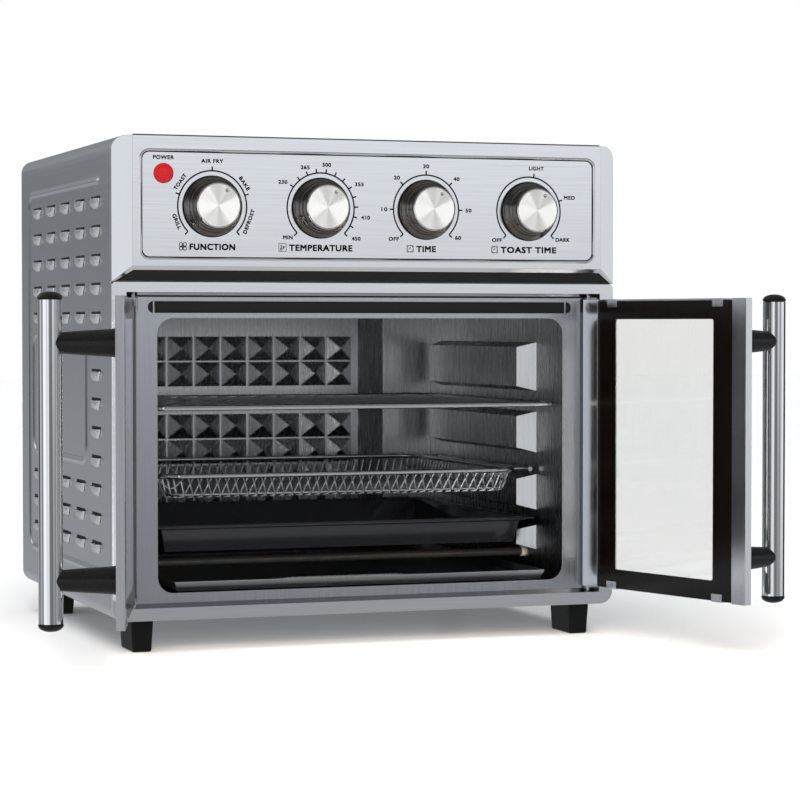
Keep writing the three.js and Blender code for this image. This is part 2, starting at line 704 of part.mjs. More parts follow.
function makeRack() {
  const y = [rackFront, rackFront + rackDepth];
  const wires = [];
  const wire = rackWire / 2;
  const rim = rackWire;
  for (const x of both(shelfHalf, rim)) wires.push(bar('y', [x, rackZ], y, rim, 8));
  for (const end of [y[0] + rim, y[1] - rim]) {
    wires.push(bar('x', [end, rackZ], both(shelfHalf - 0.2), rim, 8));
  }
  for (let i = 1; i <= rackWires; i += 1) {
    const x = -shelfHalf + (2 * shelfHalf * i) / (rackWires + 1);
    wires.push(slab([x - wire, x + wire], [y[0] + rim / 2, y[1] - rim / 2], [rackZ - wire, rackZ + wire]));
  }
  place('wire_rack', joined(wires), wireChrome);
}

// A pan with sloped walls and a flat rim that rides between the ribs of the side walls.
function pan(name, half, front, depth, rimZ, deep, material, ribbed) {
  const draft = 4;
  const rear = front + depth;
  const block = (inset, low, high) => taper([
    ...rectangle('z', high, both(half, inset), [front + inset, rear - inset]),
    ...rectangle('z', low, both(half, inset + draft), [front + inset + draft, rear - inset - draft]),
  ]);
  let body = slab(both(shelfHalf), [front + 4, rear - 4], [rimZ - panWall, rimZ])
    .add(slab(both(half + 4), [front - 4, rear + 4], [rimZ - panWall, rimZ]))
    .add(block(0, rimZ - deep, rimZ))
    .subtract(block(panWall, rimZ - deep + panWall, rimZ + 0.01));
  if (ribbed) {
    body = body.add(slab(both(half - 30), [front + 40, rear - 40], [rimZ - deep + 1, rimZ - deep + 2]));
  }
  place(name, body, material);
}

function makeCrumbTray() {
  const low = mouthLow + 2 * gap;
  const rear = crumbFront + crumbDepth;
  const block = (inset, bottom, top) => taper([
    ...rectangle('z', top, both(crumbHalf, inset), [crumbFront + inset, rear - inset]),
    ...rectangle('z', bottom, both(crumbHalf, inset + 3), [crumbFront + inset + 3, rear - inset - 3]),
  ]);
  const tray = block(0, low, low + crumbHeight).subtract(block(sheet, low + sheet, low + crumbHeight + 0.01));
  place('crumb_tray', tray, linerSteel);
}

makeCasing();
makeBack();
makeFeet();
makePanel();
makeFrame();
makeCavity();
makeHeaters();
makeFan();
makeDials();
makeDoor(-1);
makeDoor(1);
makeRack();
pan('fry_basket', basketHalf, basketFront, basketDepth, basketRimZ, basketDeep, wireChrome, false);
pan('baking_tray', trayHalf, trayFront, trayDepth, trayRimZ, trayDeep, blackEnamel, true);
makeCrumbTray();

// The origin is under the middle of everything, doors open as they are stored.
const part = new THREE.Group();
part.add(oven);
const reach = new THREE.Box3().setFromObject(oven);
oven.position.y = -(reach.min.y + reach.max.y) / 2;

export default part;
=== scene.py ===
# %% [markdown]
# # A countertop toaster oven with French doors
# The oven arrives as a finished frame: every part has its true size and place. This lesson
# gives it the looks of the real thing: pressed steel with its beads and louvres, turned knobs,
# printed dials, glass doors with a printed black border, and wire shelves.

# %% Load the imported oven
import json
from math import acos, atan2, cos, degrees, hypot, pi, radians, sin, sqrt

import bmesh
import bpy
from mathutils import Matrix, Vector

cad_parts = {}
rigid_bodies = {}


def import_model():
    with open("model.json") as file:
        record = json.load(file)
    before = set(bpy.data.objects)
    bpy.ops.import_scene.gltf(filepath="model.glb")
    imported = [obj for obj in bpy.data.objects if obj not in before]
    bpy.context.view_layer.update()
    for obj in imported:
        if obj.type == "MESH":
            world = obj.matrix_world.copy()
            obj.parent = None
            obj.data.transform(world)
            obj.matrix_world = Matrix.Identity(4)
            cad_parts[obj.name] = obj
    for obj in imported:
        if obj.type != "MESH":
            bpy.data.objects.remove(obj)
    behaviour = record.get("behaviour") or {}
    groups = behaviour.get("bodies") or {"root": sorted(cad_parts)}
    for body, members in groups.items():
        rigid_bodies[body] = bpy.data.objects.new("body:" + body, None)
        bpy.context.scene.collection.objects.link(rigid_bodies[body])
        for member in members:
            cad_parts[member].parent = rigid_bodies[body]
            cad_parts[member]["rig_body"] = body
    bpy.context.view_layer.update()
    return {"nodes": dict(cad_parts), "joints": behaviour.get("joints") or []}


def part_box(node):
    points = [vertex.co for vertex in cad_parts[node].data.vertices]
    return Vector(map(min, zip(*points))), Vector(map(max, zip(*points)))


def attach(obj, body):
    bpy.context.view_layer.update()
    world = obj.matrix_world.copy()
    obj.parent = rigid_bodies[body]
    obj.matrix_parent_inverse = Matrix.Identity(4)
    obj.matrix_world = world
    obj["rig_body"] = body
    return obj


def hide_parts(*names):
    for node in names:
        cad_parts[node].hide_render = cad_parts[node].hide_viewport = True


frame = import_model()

print("pieces in the frame:", len(frame["nodes"]))

# %% [markdown]
# ## Units and places
# Blender works in metres and a maker of small goods thinks in millimetres, so one constant
# turns one into the other. Places are read from the frame's boxes, never typed in, so the
# looks follow if a part is moved.

# %% Units and the boxes that the rest hangs on
MM = 0.001


def middle_of(node):
    low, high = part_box(node)
    return (low + high) / 2


plate_low, plate_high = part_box("front_plate")
ring_low, ring_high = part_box("front_ring")
shell_low, shell_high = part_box("outer_shell")
panel_low, panel_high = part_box("control_panel")
print("plate at", round(plate_low.y / MM, 2), "mm, casing", [round(v / MM) for v in shell_high - shell_low])

# %% [markdown]
# ## The camera
# A long lens from far away keeps upright edges upright. It stands to the left of the oven,
# at the height of the dials' lower edge, and looks down by less than two degrees.

# %% Camera
camera_data = bpy.data.cameras.new("camera")
camera_data.sensor_width = 36
camera_data.lens = 116.6
camera = bpy.data.objects.new("camera", camera_data)
camera.location = (-629.3 * MM, plate_low.y - 1847.5 * MM, 240.7 * MM)
camera.rotation_euler = (radians(88.31), 0, radians(-19.57))
bpy.context.scene.collection.objects.link(camera)
bpy.context.scene.camera = camera

# %% [markdown]
# ## Colours and one way to add a node
# Paint charts give colours as they look on a screen, so one function turns such a hex value
# into the linear light that Blender counts in. Another adds a node with its settings and
# links, for shaders and for geometry alike.

# %% Two small helpers


def linear(hex_colour):
    channels = [int(hex_colour[i:i + 2], 16) / 255 for i in (1, 3, 5)]
    return [c / 12.92 if c <= 0.04045 else ((c + 0.055) / 1.055) ** 2.4 for c in channels] + [1.0]


def add(tree, kind, inputs=None, **settings):
    """Adds a node; an input is a value, or a socket that it is linked from."""
    node = tree.nodes.new(kind)
    for name, value in settings.items():
        setattr(node, name, value)
    for name, value in (inputs or {}).items():
        if isinstance(value, bpy.types.NodeSocket):
            tree.links.new(value, node.inputs[name])
        else:
            node.inputs[name].default_value = value
    return node


def set_ramp(ramp, stops):
    """Stops are (place, colour) pairs, from 0 to 1."""
    while len(ramp.elements) > 1:
        ramp.elements.remove(ramp.elements[-1])
    ramp.elements[0].position, ramp.elements[0].color = stops[0]
    for place, colour in stops[1:]:
        ramp.elements.new(place).color = colour


# %% [markdown]
# ## The studio
# Polished steel shows the room and hardly its own colour, so the room matters more than the
# lamps. White sheets stand at the front left, straight ahead and behind, with black cards
# between them, which give polished steel its crisp dark lines. Each row below is what the
# steel sees at one height. The camera itself, and glass, see a plain white room.

# %% A room of white sheets
bpy.context.scene.view_settings.view_transform = "Standard"
# Each row: degrees above the horizon, then (degrees from the front towards the right, light).
WALLS = [
    (-9, [(-180, 0.42), (-150, 0.42), (-118, 0.36), (-84, 0.28), (-76, 1.1), (-34, 0.9), (-22, 0.5), (-12, 0.20),
          (8, 0.18), (12, 0.28), (27, 0.28), (31, 0.18), (46, 0.42), (84, 0.40), (92, 0.05), (150, 0.06),
          (162, 0.42), (180, 0.42)]),
    (-3, [(-180, 0.34), (-152, 0.32), (-140, 0.05), (-124, 0.04), (-114, 0.7), (-104, 0.6), (-96, 0.24),
          (-84, 0.26), (-76, 1.15), (-54, 1.1), (-46, 0.78), (-35, 0.78), (-31, 1.1), (-27, 1.0), (-23, 0.36),
          (-12, 0.18), (8, 0.18), (12, 0.40), (27, 0.40), (31, 0.24), (44, 0.34), (50, 0.70), (60, 0.70),
          (66, 0.92), (84, 0.92), (92, 0.04), (150, 0.06), (164, 0.30), (180, 0.34)]),
    (2.5, [(-180, 0.22), (-150, 0.21), (-136, 0.26), (-120, 0.30), (-114, 0.7), (-104, 0.6), (-96, 0.24),
           (-84, 0.28), (-76, 1.15), (-54, 1.1), (-46, 0.74), (-35, 0.74), (-31, 1.3), (-27, 1.2), (-23, 0.40),
           (-12, 0.20), (6, 0.20), (10, 0.91), (28, 0.91), (32, 0.36), (46, 0.40), (50, 0.75), (60, 0.75),
           (66, 0.95), (84, 0.95), (92, 0.06), (150, 0.08), (168, 0.10), (176, 0.22), (180, 0.22)]),
    (9, [(-180, 0.30), (-166, 0.30), (-158, 1.1), (-146, 1.1), (-132, 0.34), (-84, 0.40), (-76, 1.1),
         (-20, 0.8), (-12, 0.5), (6, 0.6), (12, 0.9), (28, 0.9), (36, 0.6), (60, 0.6), (68, 0.95), (84, 0.95), (94, 0.12), (160, 0.10), (172, 0.3),
         (180, 0.30)]),
    (18, [(-180, 0.26), (-164, 0.3), (-150, 0.8), (-110, 0.8), (-60, 0.16), (70, 0.16), (110, 0.4), (160, 0.2),
          (180, 0.26)]),
]
CEILING = [0.30, 0.305, 0.31, 1]
BLUISH = (0.925, 0.96, 1.0)


def make_room():
    room = bpy.data.worlds.new("studio_room")
    bpy.context.scene.world = room
    room.use_nodes = True
    tree = room.node_tree
    tree.nodes.clear()
    towards = add(tree, "ShaderNodeTexCoord")
    split = add(tree, "ShaderNodeSeparateXYZ", {"Vector": towards.outputs["Generated"]})
    front = add(tree, "ShaderNodeMath", {0: split.outputs["Y"], 1: -1.0}, operation="MULTIPLY")
    turn = add(tree, "ShaderNodeMath", {0: split.outputs["X"], 1: front.outputs[0]}, operation="ARCTAN2")
    round_room = add(tree, "ShaderNodeMapRange", {"Value": turn.outputs[0], "From Min": -pi, "From Max": pi})

    def blend_upwards(low_degrees, high_degrees, lower, upper):
        height = add(tree, "ShaderNodeMapRange", {"Value": split.outputs["Z"], "From Min": sin(radians(low_degrees)),
                                                  "From Max": sin(radians(high_degrees))})
        return add(tree, "ShaderNodeMix", {"Factor": height.outputs["Result"], 6: lower, 7: upper},
                   data_type="RGBA").outputs[2]

    seen, seen_from = [0.42, 0.42, 0.42, 1], -28
    for height, rows in WALLS:
        wall = add(tree, "ShaderNodeValToRGB", {"Fac": round_room.outputs["Result"]})
        set_ramp(wall.color_ramp, [((angle + 180) / 360, [light / 1.2 * tint for tint in BLUISH] + [1.0])
                                   for angle, light in rows])
        seen = blend_upwards(seen_from, height, seen, wall.outputs["Color"])
        seen_from = height
    seen = blend_upwards(40, 60, seen, CEILING)
    reflected = add(tree, "ShaderNodeBackground", {"Color": seen, "Strength": 1.2})
    plain = add(tree, "ShaderNodeBackground", {"Color": [1, 1, 1, 1], "Strength": 1.0})
    ray = add(tree, "ShaderNodeLightPath")
    straight = add(tree, "ShaderNodeMath", {0: ray.outputs["Is Camera Ray"],
                                            1: ray.outputs["Is Transmission Ray"]}, operation="MAXIMUM")
    either = add(tree, "ShaderNodeMixShader", {0: straight.outputs[0], 1: reflected.outputs[0],
                                               2: plain.outputs[0]})
    add(tree, "ShaderNodeOutputWorld", {"Surface": either.outputs[0]})


make_room()

# %% [markdown]
# ## Lamps and floor
# The floor is a white sheet that runs far past the view. A wide soft lamp overhead brings it
# up to white and leaves a soft shadow under the feet. Another soft lamp looks into the oven.
# Neither shows in the steel, because the white sheets do that work.

# %% Lamps and floor


def make_lamp(name, kind, place, aim, power, **sizes):
    data = bpy.data.lights.new(name, kind)
    data.energy = power
    for size, value in sizes.items():
        setattr(data, size, value)
    lamp = bpy.data.objects.new(name, data)
    lamp.location = place
    lamp.rotation_euler = (Vector(aim) - Vector(place)).to_track_quat("-Z", "Y").to_euler()
    lamp.visible_glossy = False
    bpy.context.scene.collection.objects.link(lamp)
    return lamp


make_lamp("overhead", "SUN", (-0.5, -1.0, 3.0), (0, 0, 0), 2.7, angle=radians(70))
make_lamp("into_the_oven", "AREA", (-0.35, -1.3, 0.55), (0, 0.1, 0.19), 26, size=0.7, color=(1.0, 0.93, 0.84))


def new_surface(name, **sockets):
    """A material with its Principled shader; each socket is set by its own name."""
    material = bpy.data.materials.new(name)
    material.use_nodes = True
    tree = material.node_tree
    shader = tree.nodes["Principled BSDF"]
    for socket, value in sockets.items():
        shader.inputs[socket.replace("_", " ")].default_value = value
    return material, tree, shader


def make_floor():
    half = 9.0
    work = bmesh.new()
    corners = [work.verts.new((x, y, 0)) for x, y in ((-half, -half), (half, -half), (half, half), (-half, half))]
    work.faces.new(corners)
    mesh = bpy.data.meshes.new("floor")
    work.to_mesh(mesh)
    floor = bpy.data.objects.new("floor", mesh)
    bpy.context.scene.collection.objects.link(floor)
    material, tree, shader = new_surface("white_studio_board", Roughness=0.16, Specular_IOR_Level=0.0)
    place = add(tree, "ShaderNodeTexCoord")
    mottle = add(tree, "ShaderNodeTexNoise", {"Vector": place.outputs["Object"], "Scale": 3.0, "Detail": 3.0})
    tint = add(tree, "ShaderNodeMix", {"Factor": mottle.outputs["Fac"], 6: linear("#F6F6F7"),
                                       7: linear("#FAFAFA")}, data_type="RGBA")
    tree.links.new(tint.outputs[2], shader.inputs["Base Color"])
    gloss = add(tree, "ShaderNodeBsdfGlossy", {"Color": [1, 1, 1, 1], "Roughness": 0.12})
    blend = add(tree, "ShaderNodeMixShader", {0: 0.10, 1: shader.outputs[0], 2: gloss.outputs[0]})
    tree.links.new(blend.outputs[0], tree.nodes["Material Output"].inputs["Surface"])
    mesh.materials.append(material)
    floor.visible_glossy = False


make_floor()

# %% [markdown]
# ## Brushed and rolled steel
# Stainless sheet is brushed in one direction, so its fine scratches catch light as long
# streaks. A noise pattern squeezed across the grain and stretched along it gives them. Real
# scratches are a tenth of a millimetre apart, too fine to show from two metres away, so they
# are drawn wider here. Colour comes from the room, so the sheet itself is a pale warm grey.

# %% Steel finishes


def grained_metal(name, colour, rough, along, grain=0.9 * MM, run=90 * MM, spread=0.07, relief=0.02,
                  shade=0.05, deep=0.1 * MM, **sockets):
    """Sheet metal with its grain along one axis; grain and run are the scratches' width and length."""
    material, tree, shader = new_surface(name, Metallic=1.0, Roughness=rough, **sockets)
    place = add(tree, "ShaderNodeTexCoord")
    scale = [1 / run if axis == along else 1 / grain for axis in "XYZ"]
    squeezed = add(tree, "ShaderNodeMapping", {"Vector": place.outputs["Object"], "Scale": scale})
    scratches = add(tree, "ShaderNodeTexNoise", {"Vector": squeezed.outputs["Vector"], "Scale": 1.0, "Detail": 2.0})
    drift = add(tree, "ShaderNodeTexNoise", {"Vector": place.outputs["Object"], "Scale": 9.0, "Detail": 2.0})
    roughness = add(tree, "ShaderNodeMapRange", {"Value": scratches.outputs["Fac"], "From Min": 0.3,
                                                 "From Max": 0.7, "To Min": rough - spread,
                                                 "To Max": rough + spread})
    tree.links.new(roughness.outputs["Result"], shader.inputs["Roughness"])
    base = linear(colour)
    dark = [c * (1 - shade) for c in base[:3]] + [1]
    streaks = add(tree, "ShaderNodeMix", {"Factor": scratches.outputs["Fac"], 6: dark, 7: base}, data_type="RGBA")
    clouds = add(tree, "ShaderNodeMix", {"Factor": drift.outputs["Fac"], 6: [0.965, 0.965, 0.965, 1],
                                         7: [1, 1, 1, 1]}, data_type="RGBA")
    mixed = add(tree, "ShaderNodeMix", {"Factor": 1.0, 6: streaks.outputs[2], 7: clouds.outputs[2]},
                data_type="RGBA", blend_type="MULTIPLY")
    tree.links.new(mixed.outputs[2], shader.inputs["Base Color"])
    bump = add(tree, "ShaderNodeBump", {"Strength": relief, "Distance": deep, "Height": scratches.outputs["Fac"]})
    tree.links.new(bump.outputs["Normal"], shader.inputs["Normal"])
    return material


# 430 stainless, brushed along the panel: a soft sheen with level streaks.
panel_steel = grained_metal("brushed_430_stainless", "#F3F4F6", 0.15, "X", spread=0.04, relief=0.006, shade=0.03)
# The same sheet on the doors and the frame, brushed upright and rolled a little smoother.
door_steel = grained_metal("upright_brushed_stainless", "#ECEDEF", 0.18, "Z", spread=0.05, relief=0.01)
# The plate round the mouth is the same upright sheet, its colour made darker as painted shade.
shaded_plate_steel = grained_metal("stainless_with_painted_shade", "#C6C8CD", 0.2, "Z", spread=0.05, relief=0.01)
# A dark grey colour, painted as the dark reflection in the panel's top bend.
edge_reflection_steel = grained_metal("painted_dark_reflection_edge", "#6E7276", 0.34, "X", grain=1.2 * MM, relief=0.02)
# Hot-dip coated sheet for the casing: even, slightly dull, with a faint grain from the mill.
casing_steel = grained_metal("aluminised_casing_sheet", "#DCDFE4", 0.17, "Y", grain=1.4 * MM, relief=0.004,
                             spread=0.03, shade=0.02)
# The sheet that the louvre tool has stretched, rippled by the punch; its brighter colour is a painted highlight.
scoop_steel = grained_metal("louvre_sheet_painted_sheen", "#FAFBFC", 0.09, "Y", grain=2.2 * MM, run=3.0 * MM,
                            relief=0.95, deep=0.9 * MM, spread=0.03)
# Bright aluminised liner: smoother than the casing, so the cavity throws light about.
liner_steel = grained_metal("aluminised_liner_sheet", "#DADADB", 0.27, "Z", grain=2.6 * MM, run=60 * MM,
                            relief=0.008, shade=0.03, spread=0.03)
# The same sheet lying flat, so its grain runs across the oven.
floor_steel = grained_metal("aluminised_floor_sheet", "#DADADB", 0.32, "X", grain=2.6 * MM, run=60 * MM,
                            relief=0.006, shade=0.03, spread=0.03)
# Chromium over polished steel: nearly a mirror, only the faintest wipe marks.
bar_chrome = grained_metal("polished_chromium_plate", "#F2F3F5", 0.07, "Z", grain=2.5 * MM, run=60 * MM,
                           spread=0.015, relief=0.004, shade=0.02)
knob_chrome = grained_metal("turned_chromium_plate", "#E6E5E4", 0.08, "Y", grain=1.2 * MM, run=60 * MM,
                            spread=0.02, relief=0.004, shade=0.04)
# The knob's wall is a darker copy of the chrome: painted shade, with soft brown-grey bands of painted reflection.
shaded_wall_chrome = grained_metal("chrome_with_painted_shade", "#7E7872", 0.16, "Y", grain=2.5 * MM, run=60 * MM,
                          spread=0.06, relief=0.03, shade=0.45)
# Nickel and chrome on drawn wire: bright with soft edges where the plate is thin.
wire_chrome = grained_metal("plated_drawn_wire", "#DCDDDF", 0.20, "Y", grain=1.0 * MM, run=30 * MM, relief=0.01)
# Zinc on screws and brackets: greyer and a little mottled.
zinc_plate = grained_metal("zinc_plated_steel", "#C9CCD0", 0.34, "X", grain=3 * MM, run=3 * MM, shade=0.12)

# %% [markdown]
# ## Spun caps
# The knob's cap is faced on a lathe, which leaves rings finer than the eye can part. Each ring
# spreads light across itself and not along itself, so bright wedges and grey ones meet in the
# middle. Blender's anisotropy does this when its tangent runs round the cap's axis. The
# wedges are also painted faintly into the colour by the angle round the cap, as painted
# highlights and grey painted reflections, so they stay in an even room too.

# %% Spun aluminium
PAINTED_HIGHLIGHT_WEDGES = [(0.0, 0.98), (0.06, 1.0), (0.09, 0.66), (0.15, 0.54), (0.19, 0.80), (0.24, 0.58), (0.31, 0.60),
          (0.34, 1.0), (0.39, 0.80), (0.46, 1.0), (0.58, 1.0), (0.62, 0.62), (0.70, 0.84), (0.76, 0.52),
          (0.82, 0.70), (0.86, 1.0), (1.0, 0.98)]


def spun_metal(name, rough):
    material, tree, shader = new_surface(name, Metallic=0.76, Roughness=rough, Anisotropic=0.6)
    tangent = add(tree, "ShaderNodeTangent", direction_type="UV_MAP", uv_map="turned")
    tree.links.new(tangent.outputs[0], shader.inputs["Tangent"])
    unrolled = add(tree, "ShaderNodeUVMap", uv_map="turned")
    split = add(tree, "ShaderNodeSeparateXYZ", {"Vector": unrolled.outputs["UV"]})
    # The wedges in the colour are painted highlights and grey painted reflections.
    wedges = add(tree, "ShaderNodeValToRGB", {"Fac": split.outputs["X"]})
    wedges.color_ramp.interpolation = "B_SPLINE"
    set_ramp(wedges.color_ramp, [(place, [shade * 0.99, shade, shade * 1.01, 1]) for place, shade in PAINTED_HIGHLIGHT_WEDGES])
    rings = add(tree, "ShaderNodeTexWave", {"Vector": unrolled.outputs["UV"], "Scale": 14.0, "Distortion": 0.6},
                wave_type="BANDS", bands_direction="Y")
    tint = add(tree, "ShaderNodeMix", {"Factor": rings.outputs["Fac"], 6: [0.94, 0.94, 0.94, 1],
                                       7: [1, 1, 1, 1]}, data_type="RGBA")
    mixed = add(tree, "ShaderNodeMix", {"Factor": 1.0, 6: wedges.outputs["Color"], 7: tint.outputs[2]},
                data_type="RGBA", blend_type="MULTIPLY")
    tree.links.new(mixed.outputs[2], shader.inputs["Base Color"])
    return material


cap_aluminium = spun_metal("spun_aluminium_facing", 0.3)

# %% [markdown]
# ## Plastics, enamel, ink, glass
# Moulded plastic keeps the fine texture of its tool. Enamel is glass fused to steel: deep black
# under a clear skin with tiny pits. The print on the panel is baked ink, flat and almost dull.

# %% Moulded, fused and printed finishes


def speckled(name, colour, other, rough, grain, relief, spread=0.06, **sockets):
    """A non-metal with an even fine grain in its colour, roughness and surface."""
    material, tree, shader = new_surface(name, Roughness=rough, **sockets)
    place = add(tree, "ShaderNodeTexCoord")
    noise = add(tree, "ShaderNodeTexNoise", {"Vector": place.outputs["Object"], "Scale": 1 / grain, "Detail": 3.0})
    tint = add(tree, "ShaderNodeMix", {"Factor": noise.outputs["Fac"], 6: linear(colour),
                                       7: linear(other)}, data_type="RGBA")
    tree.links.new(tint.outputs[2], shader.inputs["Base Color"])
    roughness = add(tree, "ShaderNodeMapRange", {"Value": noise.outputs["Fac"], "From Min": 0.3, "From Max": 0.7,
                                                 "To Min": rough - spread, "To Max": rough + spread})
    tree.links.new(roughness.outputs["Result"], shader.inputs["Roughness"])
    bump = add(tree, "ShaderNodeBump", {"Strength": relief, "Distance": 0.1 * MM, "Height": noise.outputs["Fac"]})
    tree.links.new(bump.outputs["Normal"], shader.inputs["Normal"])
    return material


# Heat-proof phenolic on the handle: black, a soft line of light along it.
handle_plastic = speckled("moulded_black_phenolic", "#050506", "#0B0B0C", 0.3, 1.2 * MM, 0.1,
                          Specular_IOR_Level=0.32)
# Rubber-like foot: the dullest black on the oven.
foot_plastic = speckled("moulded_black_foot", "#040404", "#0B0B0C", 0.5, 1.5 * MM, 0.2, Specular_IOR_Level=0.2)
# Matt black painted shade for the shaded strip under the dials, the louvre slits and the sheet behind the slot, so they
# swallow light.
painted_black_shade = speckled("matt_black_painted_shade", "#0C0C0D", "#17171A", 0.62, 2.0 * MM, 0.15, Specular_IOR_Level=0.3)
# Black nylon for the switch cases and the cord bush; the same black is also painted shade under the knobs, in the
# bead's groove and in the hinge wells.
black_nylon_and_shade = speckled("black_nylon_and_painted_shade", "#060607", "#0E0E0F", 0.45, 1.5 * MM, 0.2,
                          Specular_IOR_Level=0.25)
tray_enamel = speckled("black_vitreous_enamel", "#0C0D10", "#1A1B20", 0.16, 1.6 * MM, 0.12, Coat_Weight=0.6,
                       Coat_Roughness=0.08)
dial_ink = speckled("baked_black_ink", "#030303", "#080809", 0.5, 0.8 * MM, 0.1, Specular_IOR_Level=0.15)
glass_print = speckled("ceramic_glass_print", "#050302", "#0B0705", 0.2, 2.0 * MM, 0.06, Specular_IOR_Level=0.3)
lamp_lens = speckled("red_acrylic_lens", "#7E0C15", "#94121B", 0.3, 2.5 * MM, 0.2, Specular_IOR_Level=0.25,
                     Coat_Weight=0.1)
# Nickel alloy tube that has been red hot: brown and blue-grey bloom over dull metal.
rod_sheath = speckled("heat_bloomed_sheath", "#6E6A66", "#4F5257", 0.42, 9 * MM, 0.2, Metallic=0.8)
rod_ceramic = speckled("white_steatite", "#D9D5CB", "#EAE6DC", 0.6, 1.5 * MM, 0.2)


def clear_glass(name):
    """Tempered soda-lime glass: clear with the faintest green, and slow waves from the oven."""
    material, tree, shader = new_surface(name, Roughness=0.0, Transmission_Weight=1.0, IOR=1.5)
    place = add(tree, "ShaderNodeTexCoord")
    waves = add(tree, "ShaderNodeTexNoise", {"Vector": place.outputs["Object"], "Scale": 12.0, "Detail": 1.0})
    tint = add(tree, "ShaderNodeMix", {"Factor": waves.outputs["Fac"], 6: linear("#E9EAE8"),
                                       7: linear("#F2F2F0")}, data_type="RGBA")
    tree.links.new(tint.outputs[2], shader.inputs["Base Color"])
    bump = add(tree, "ShaderNodeBump", {"Strength": 0.02, "Distance": 0.2 * MM, "Height": waves.outputs["Fac"]})
    tree.links.new(bump.outputs["Normal"], shader.inputs["Normal"])
    return material


door_glass = clear_glass("tempered_clear_glass")
print("materials:", len(bpy.data.materials))

# %% [markdown]
# ## Handing a piece over
# Each piece is a mesh in its place. It gets its finish, rides on the body that its part of the
# frame belongs to, and stands for the plain part.

# %% From working mesh to finished piece


def made_piece(name, mesh, finishes, body=None, stands_for=(), smooth=38, weighted=True):
    piece = bpy.data.objects.new(name, mesh)
    bpy.context.scene.collection.objects.link(piece)
    mesh.name = name
    bands = [face.material_index for face in mesh.polygons]
    mesh.materials.clear()
    for finish in finishes if isinstance(finishes, (list, tuple)) else [finishes]:
        mesh.materials.append(finish)
    mesh.polygons.foreach_set("material_index", bands)
    mesh.shade_smooth()
    mesh.set_sharp_from_angle(angle=radians(smooth))
    if weighted:
        even = piece.modifiers.new("even_normals", "WEIGHTED_NORMAL")
        even.keep_sharp = True
    nodes = [stands_for] if isinstance(stands_for, str) else list(stands_for)
    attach(piece, body or frame["nodes"][nodes[0]]["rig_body"])
    if nodes:
        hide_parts(*nodes)
    return piece


def from_bmesh(work, name):
    mesh = bpy.data.meshes.new(name)
    work.to_mesh(mesh)
    work.free()
    return mesh


# %% [markdown]
# ## Softening the edges of a plain part
# Bent sheet and moulded plastic have no razor edges: every one is rounded and draws a thin
# line of light. A copy of the part has its triangles merged into whole faces, then its sharp
# edges are rounded off. `wide` picks edges that are rounded more than the rest.

# %% Rounded copies of the parts


def soften(work, width, segments, chosen=None, sharp=25):
    edges = [e for e in work.edges if len(e.link_faces) == 2 and e.calc_face_angle(0) > radians(sharp)
             and (chosen is None or chosen(e))]
    if edges:
        bmesh.ops.bevel(work, geom=edges, offset=width, offset_type="OFFSET", segments=segments, profile=0.5,
                        affect="EDGES", clamp_overlap=True, loop_slide=True, material=-1)


def merged_copy(node):
    work = bmesh.new()
    work.from_mesh(frame["nodes"][node].data)
    bmesh.ops.remove_doubles(work, verts=work.verts, dist=0.01 * MM)
    bmesh.ops.dissolve_limit(work, angle_limit=radians(0.6), verts=work.verts, edges=work.edges,
                             use_dissolve_boundaries=False)
    return work


def softened(node, name, finish, width=0.5 * MM, segments=2, wide=None, wide_width=1.6 * MM, smooth=38):
    work = merged_copy(node)
    if wide:
        soften(work, wide_width, 4, wide)
    soften(work, width, segments)
    return made_piece(name, from_bmesh(work, name), finish, stands_for=node, smooth=smooth)


PLAIN_PARTS = {
    # part: (piece, finish, slot, rounding)
    "base_pan": ("base_sheet", casing_steel, "casing_steel", 0.3),
    "cavity_left_wall": ("left_liner", liner_steel, "liner_steel", 2.2),
    "cavity_right_wall": ("right_liner", liner_steel, "liner_steel", 2.2),
    "cavity_roof": ("liner_roof", liner_steel, "liner_steel", 0.3),
    "cavity_floor": ("liner_floor", floor_steel, "liner_steel", 0.3),
    "cavity_back_wall": ("rear_reflector", liner_steel, "liner_steel", 0.9),
    "fan_guard": ("fan_cover", liner_steel, "liner_steel", 0.3),
    "fan_rotor": ("fan_wheel", zinc_plate, "liner_steel", 0.2),
    "fan_motor": ("fan_motor_can", zinc_plate, "casing_steel", 1.2),
    "cord_gland": ("cord_bush", black_nylon_and_shade, "black_plastic", 0.4),
    "function_switch": ("function_switch_case", black_nylon_and_shade, "black_plastic", 0.6),
    "thermostat": ("thermostat_case", black_nylon_and_shade, "black_plastic", 0.6),
    "timer": ("timer_case", black_nylon_and_shade, "black_plastic", 0.6),
    "toast_timer": ("toast_timer_case", black_nylon_and_shade, "black_plastic", 0.6),
    # The strip's black is painted shade.
    "vent_strip": ("shadow_strip", painted_black_shade, "black_plastic", 0.3),
    # The mouth plate's darker colour is painted shade.
    "front_plate": ("mouth_plate", shaded_plate_steel, "liner_steel", 0.35),
    "back_panel": ("rear_cover", casing_steel, "casing_steel", 0.4),
}
for node, (name, finish, slot, rounding) in PLAIN_PARTS.items():
    softened(node, name, finish, rounding * MM)
for row in ("front", "rear"):
    for side in ("left", "right"):
        softened(f"{row}_{side}_foot", f"{row}_{side}_shoe", foot_plastic, 1.6 * MM, 3)
for side in ("left", "right"):
    softened(f"{side}_door_frame", f"{side}_door_sheet", door_steel, 0.45 * MM, 3)
    for end in ("top", "bottom"):
        softened(f"{side}_hinge_pin_{end}", f"{side}_hinge_stud_{end}", zinc_plate, 0.2 * MM)

# %% [markdown]
# ## The dial panel and the door frame
# Both are deep-drawn. On the dial panel the outer bends are rounder than the shallow step round
# the dials, so edges that lie on the outside are rounded by almost two millimetres, and the rest
# by a third; the door frame is rounded by half a millimetre all over.

# %% Panel and frame
FACE_SIDE = 183.5 * MM


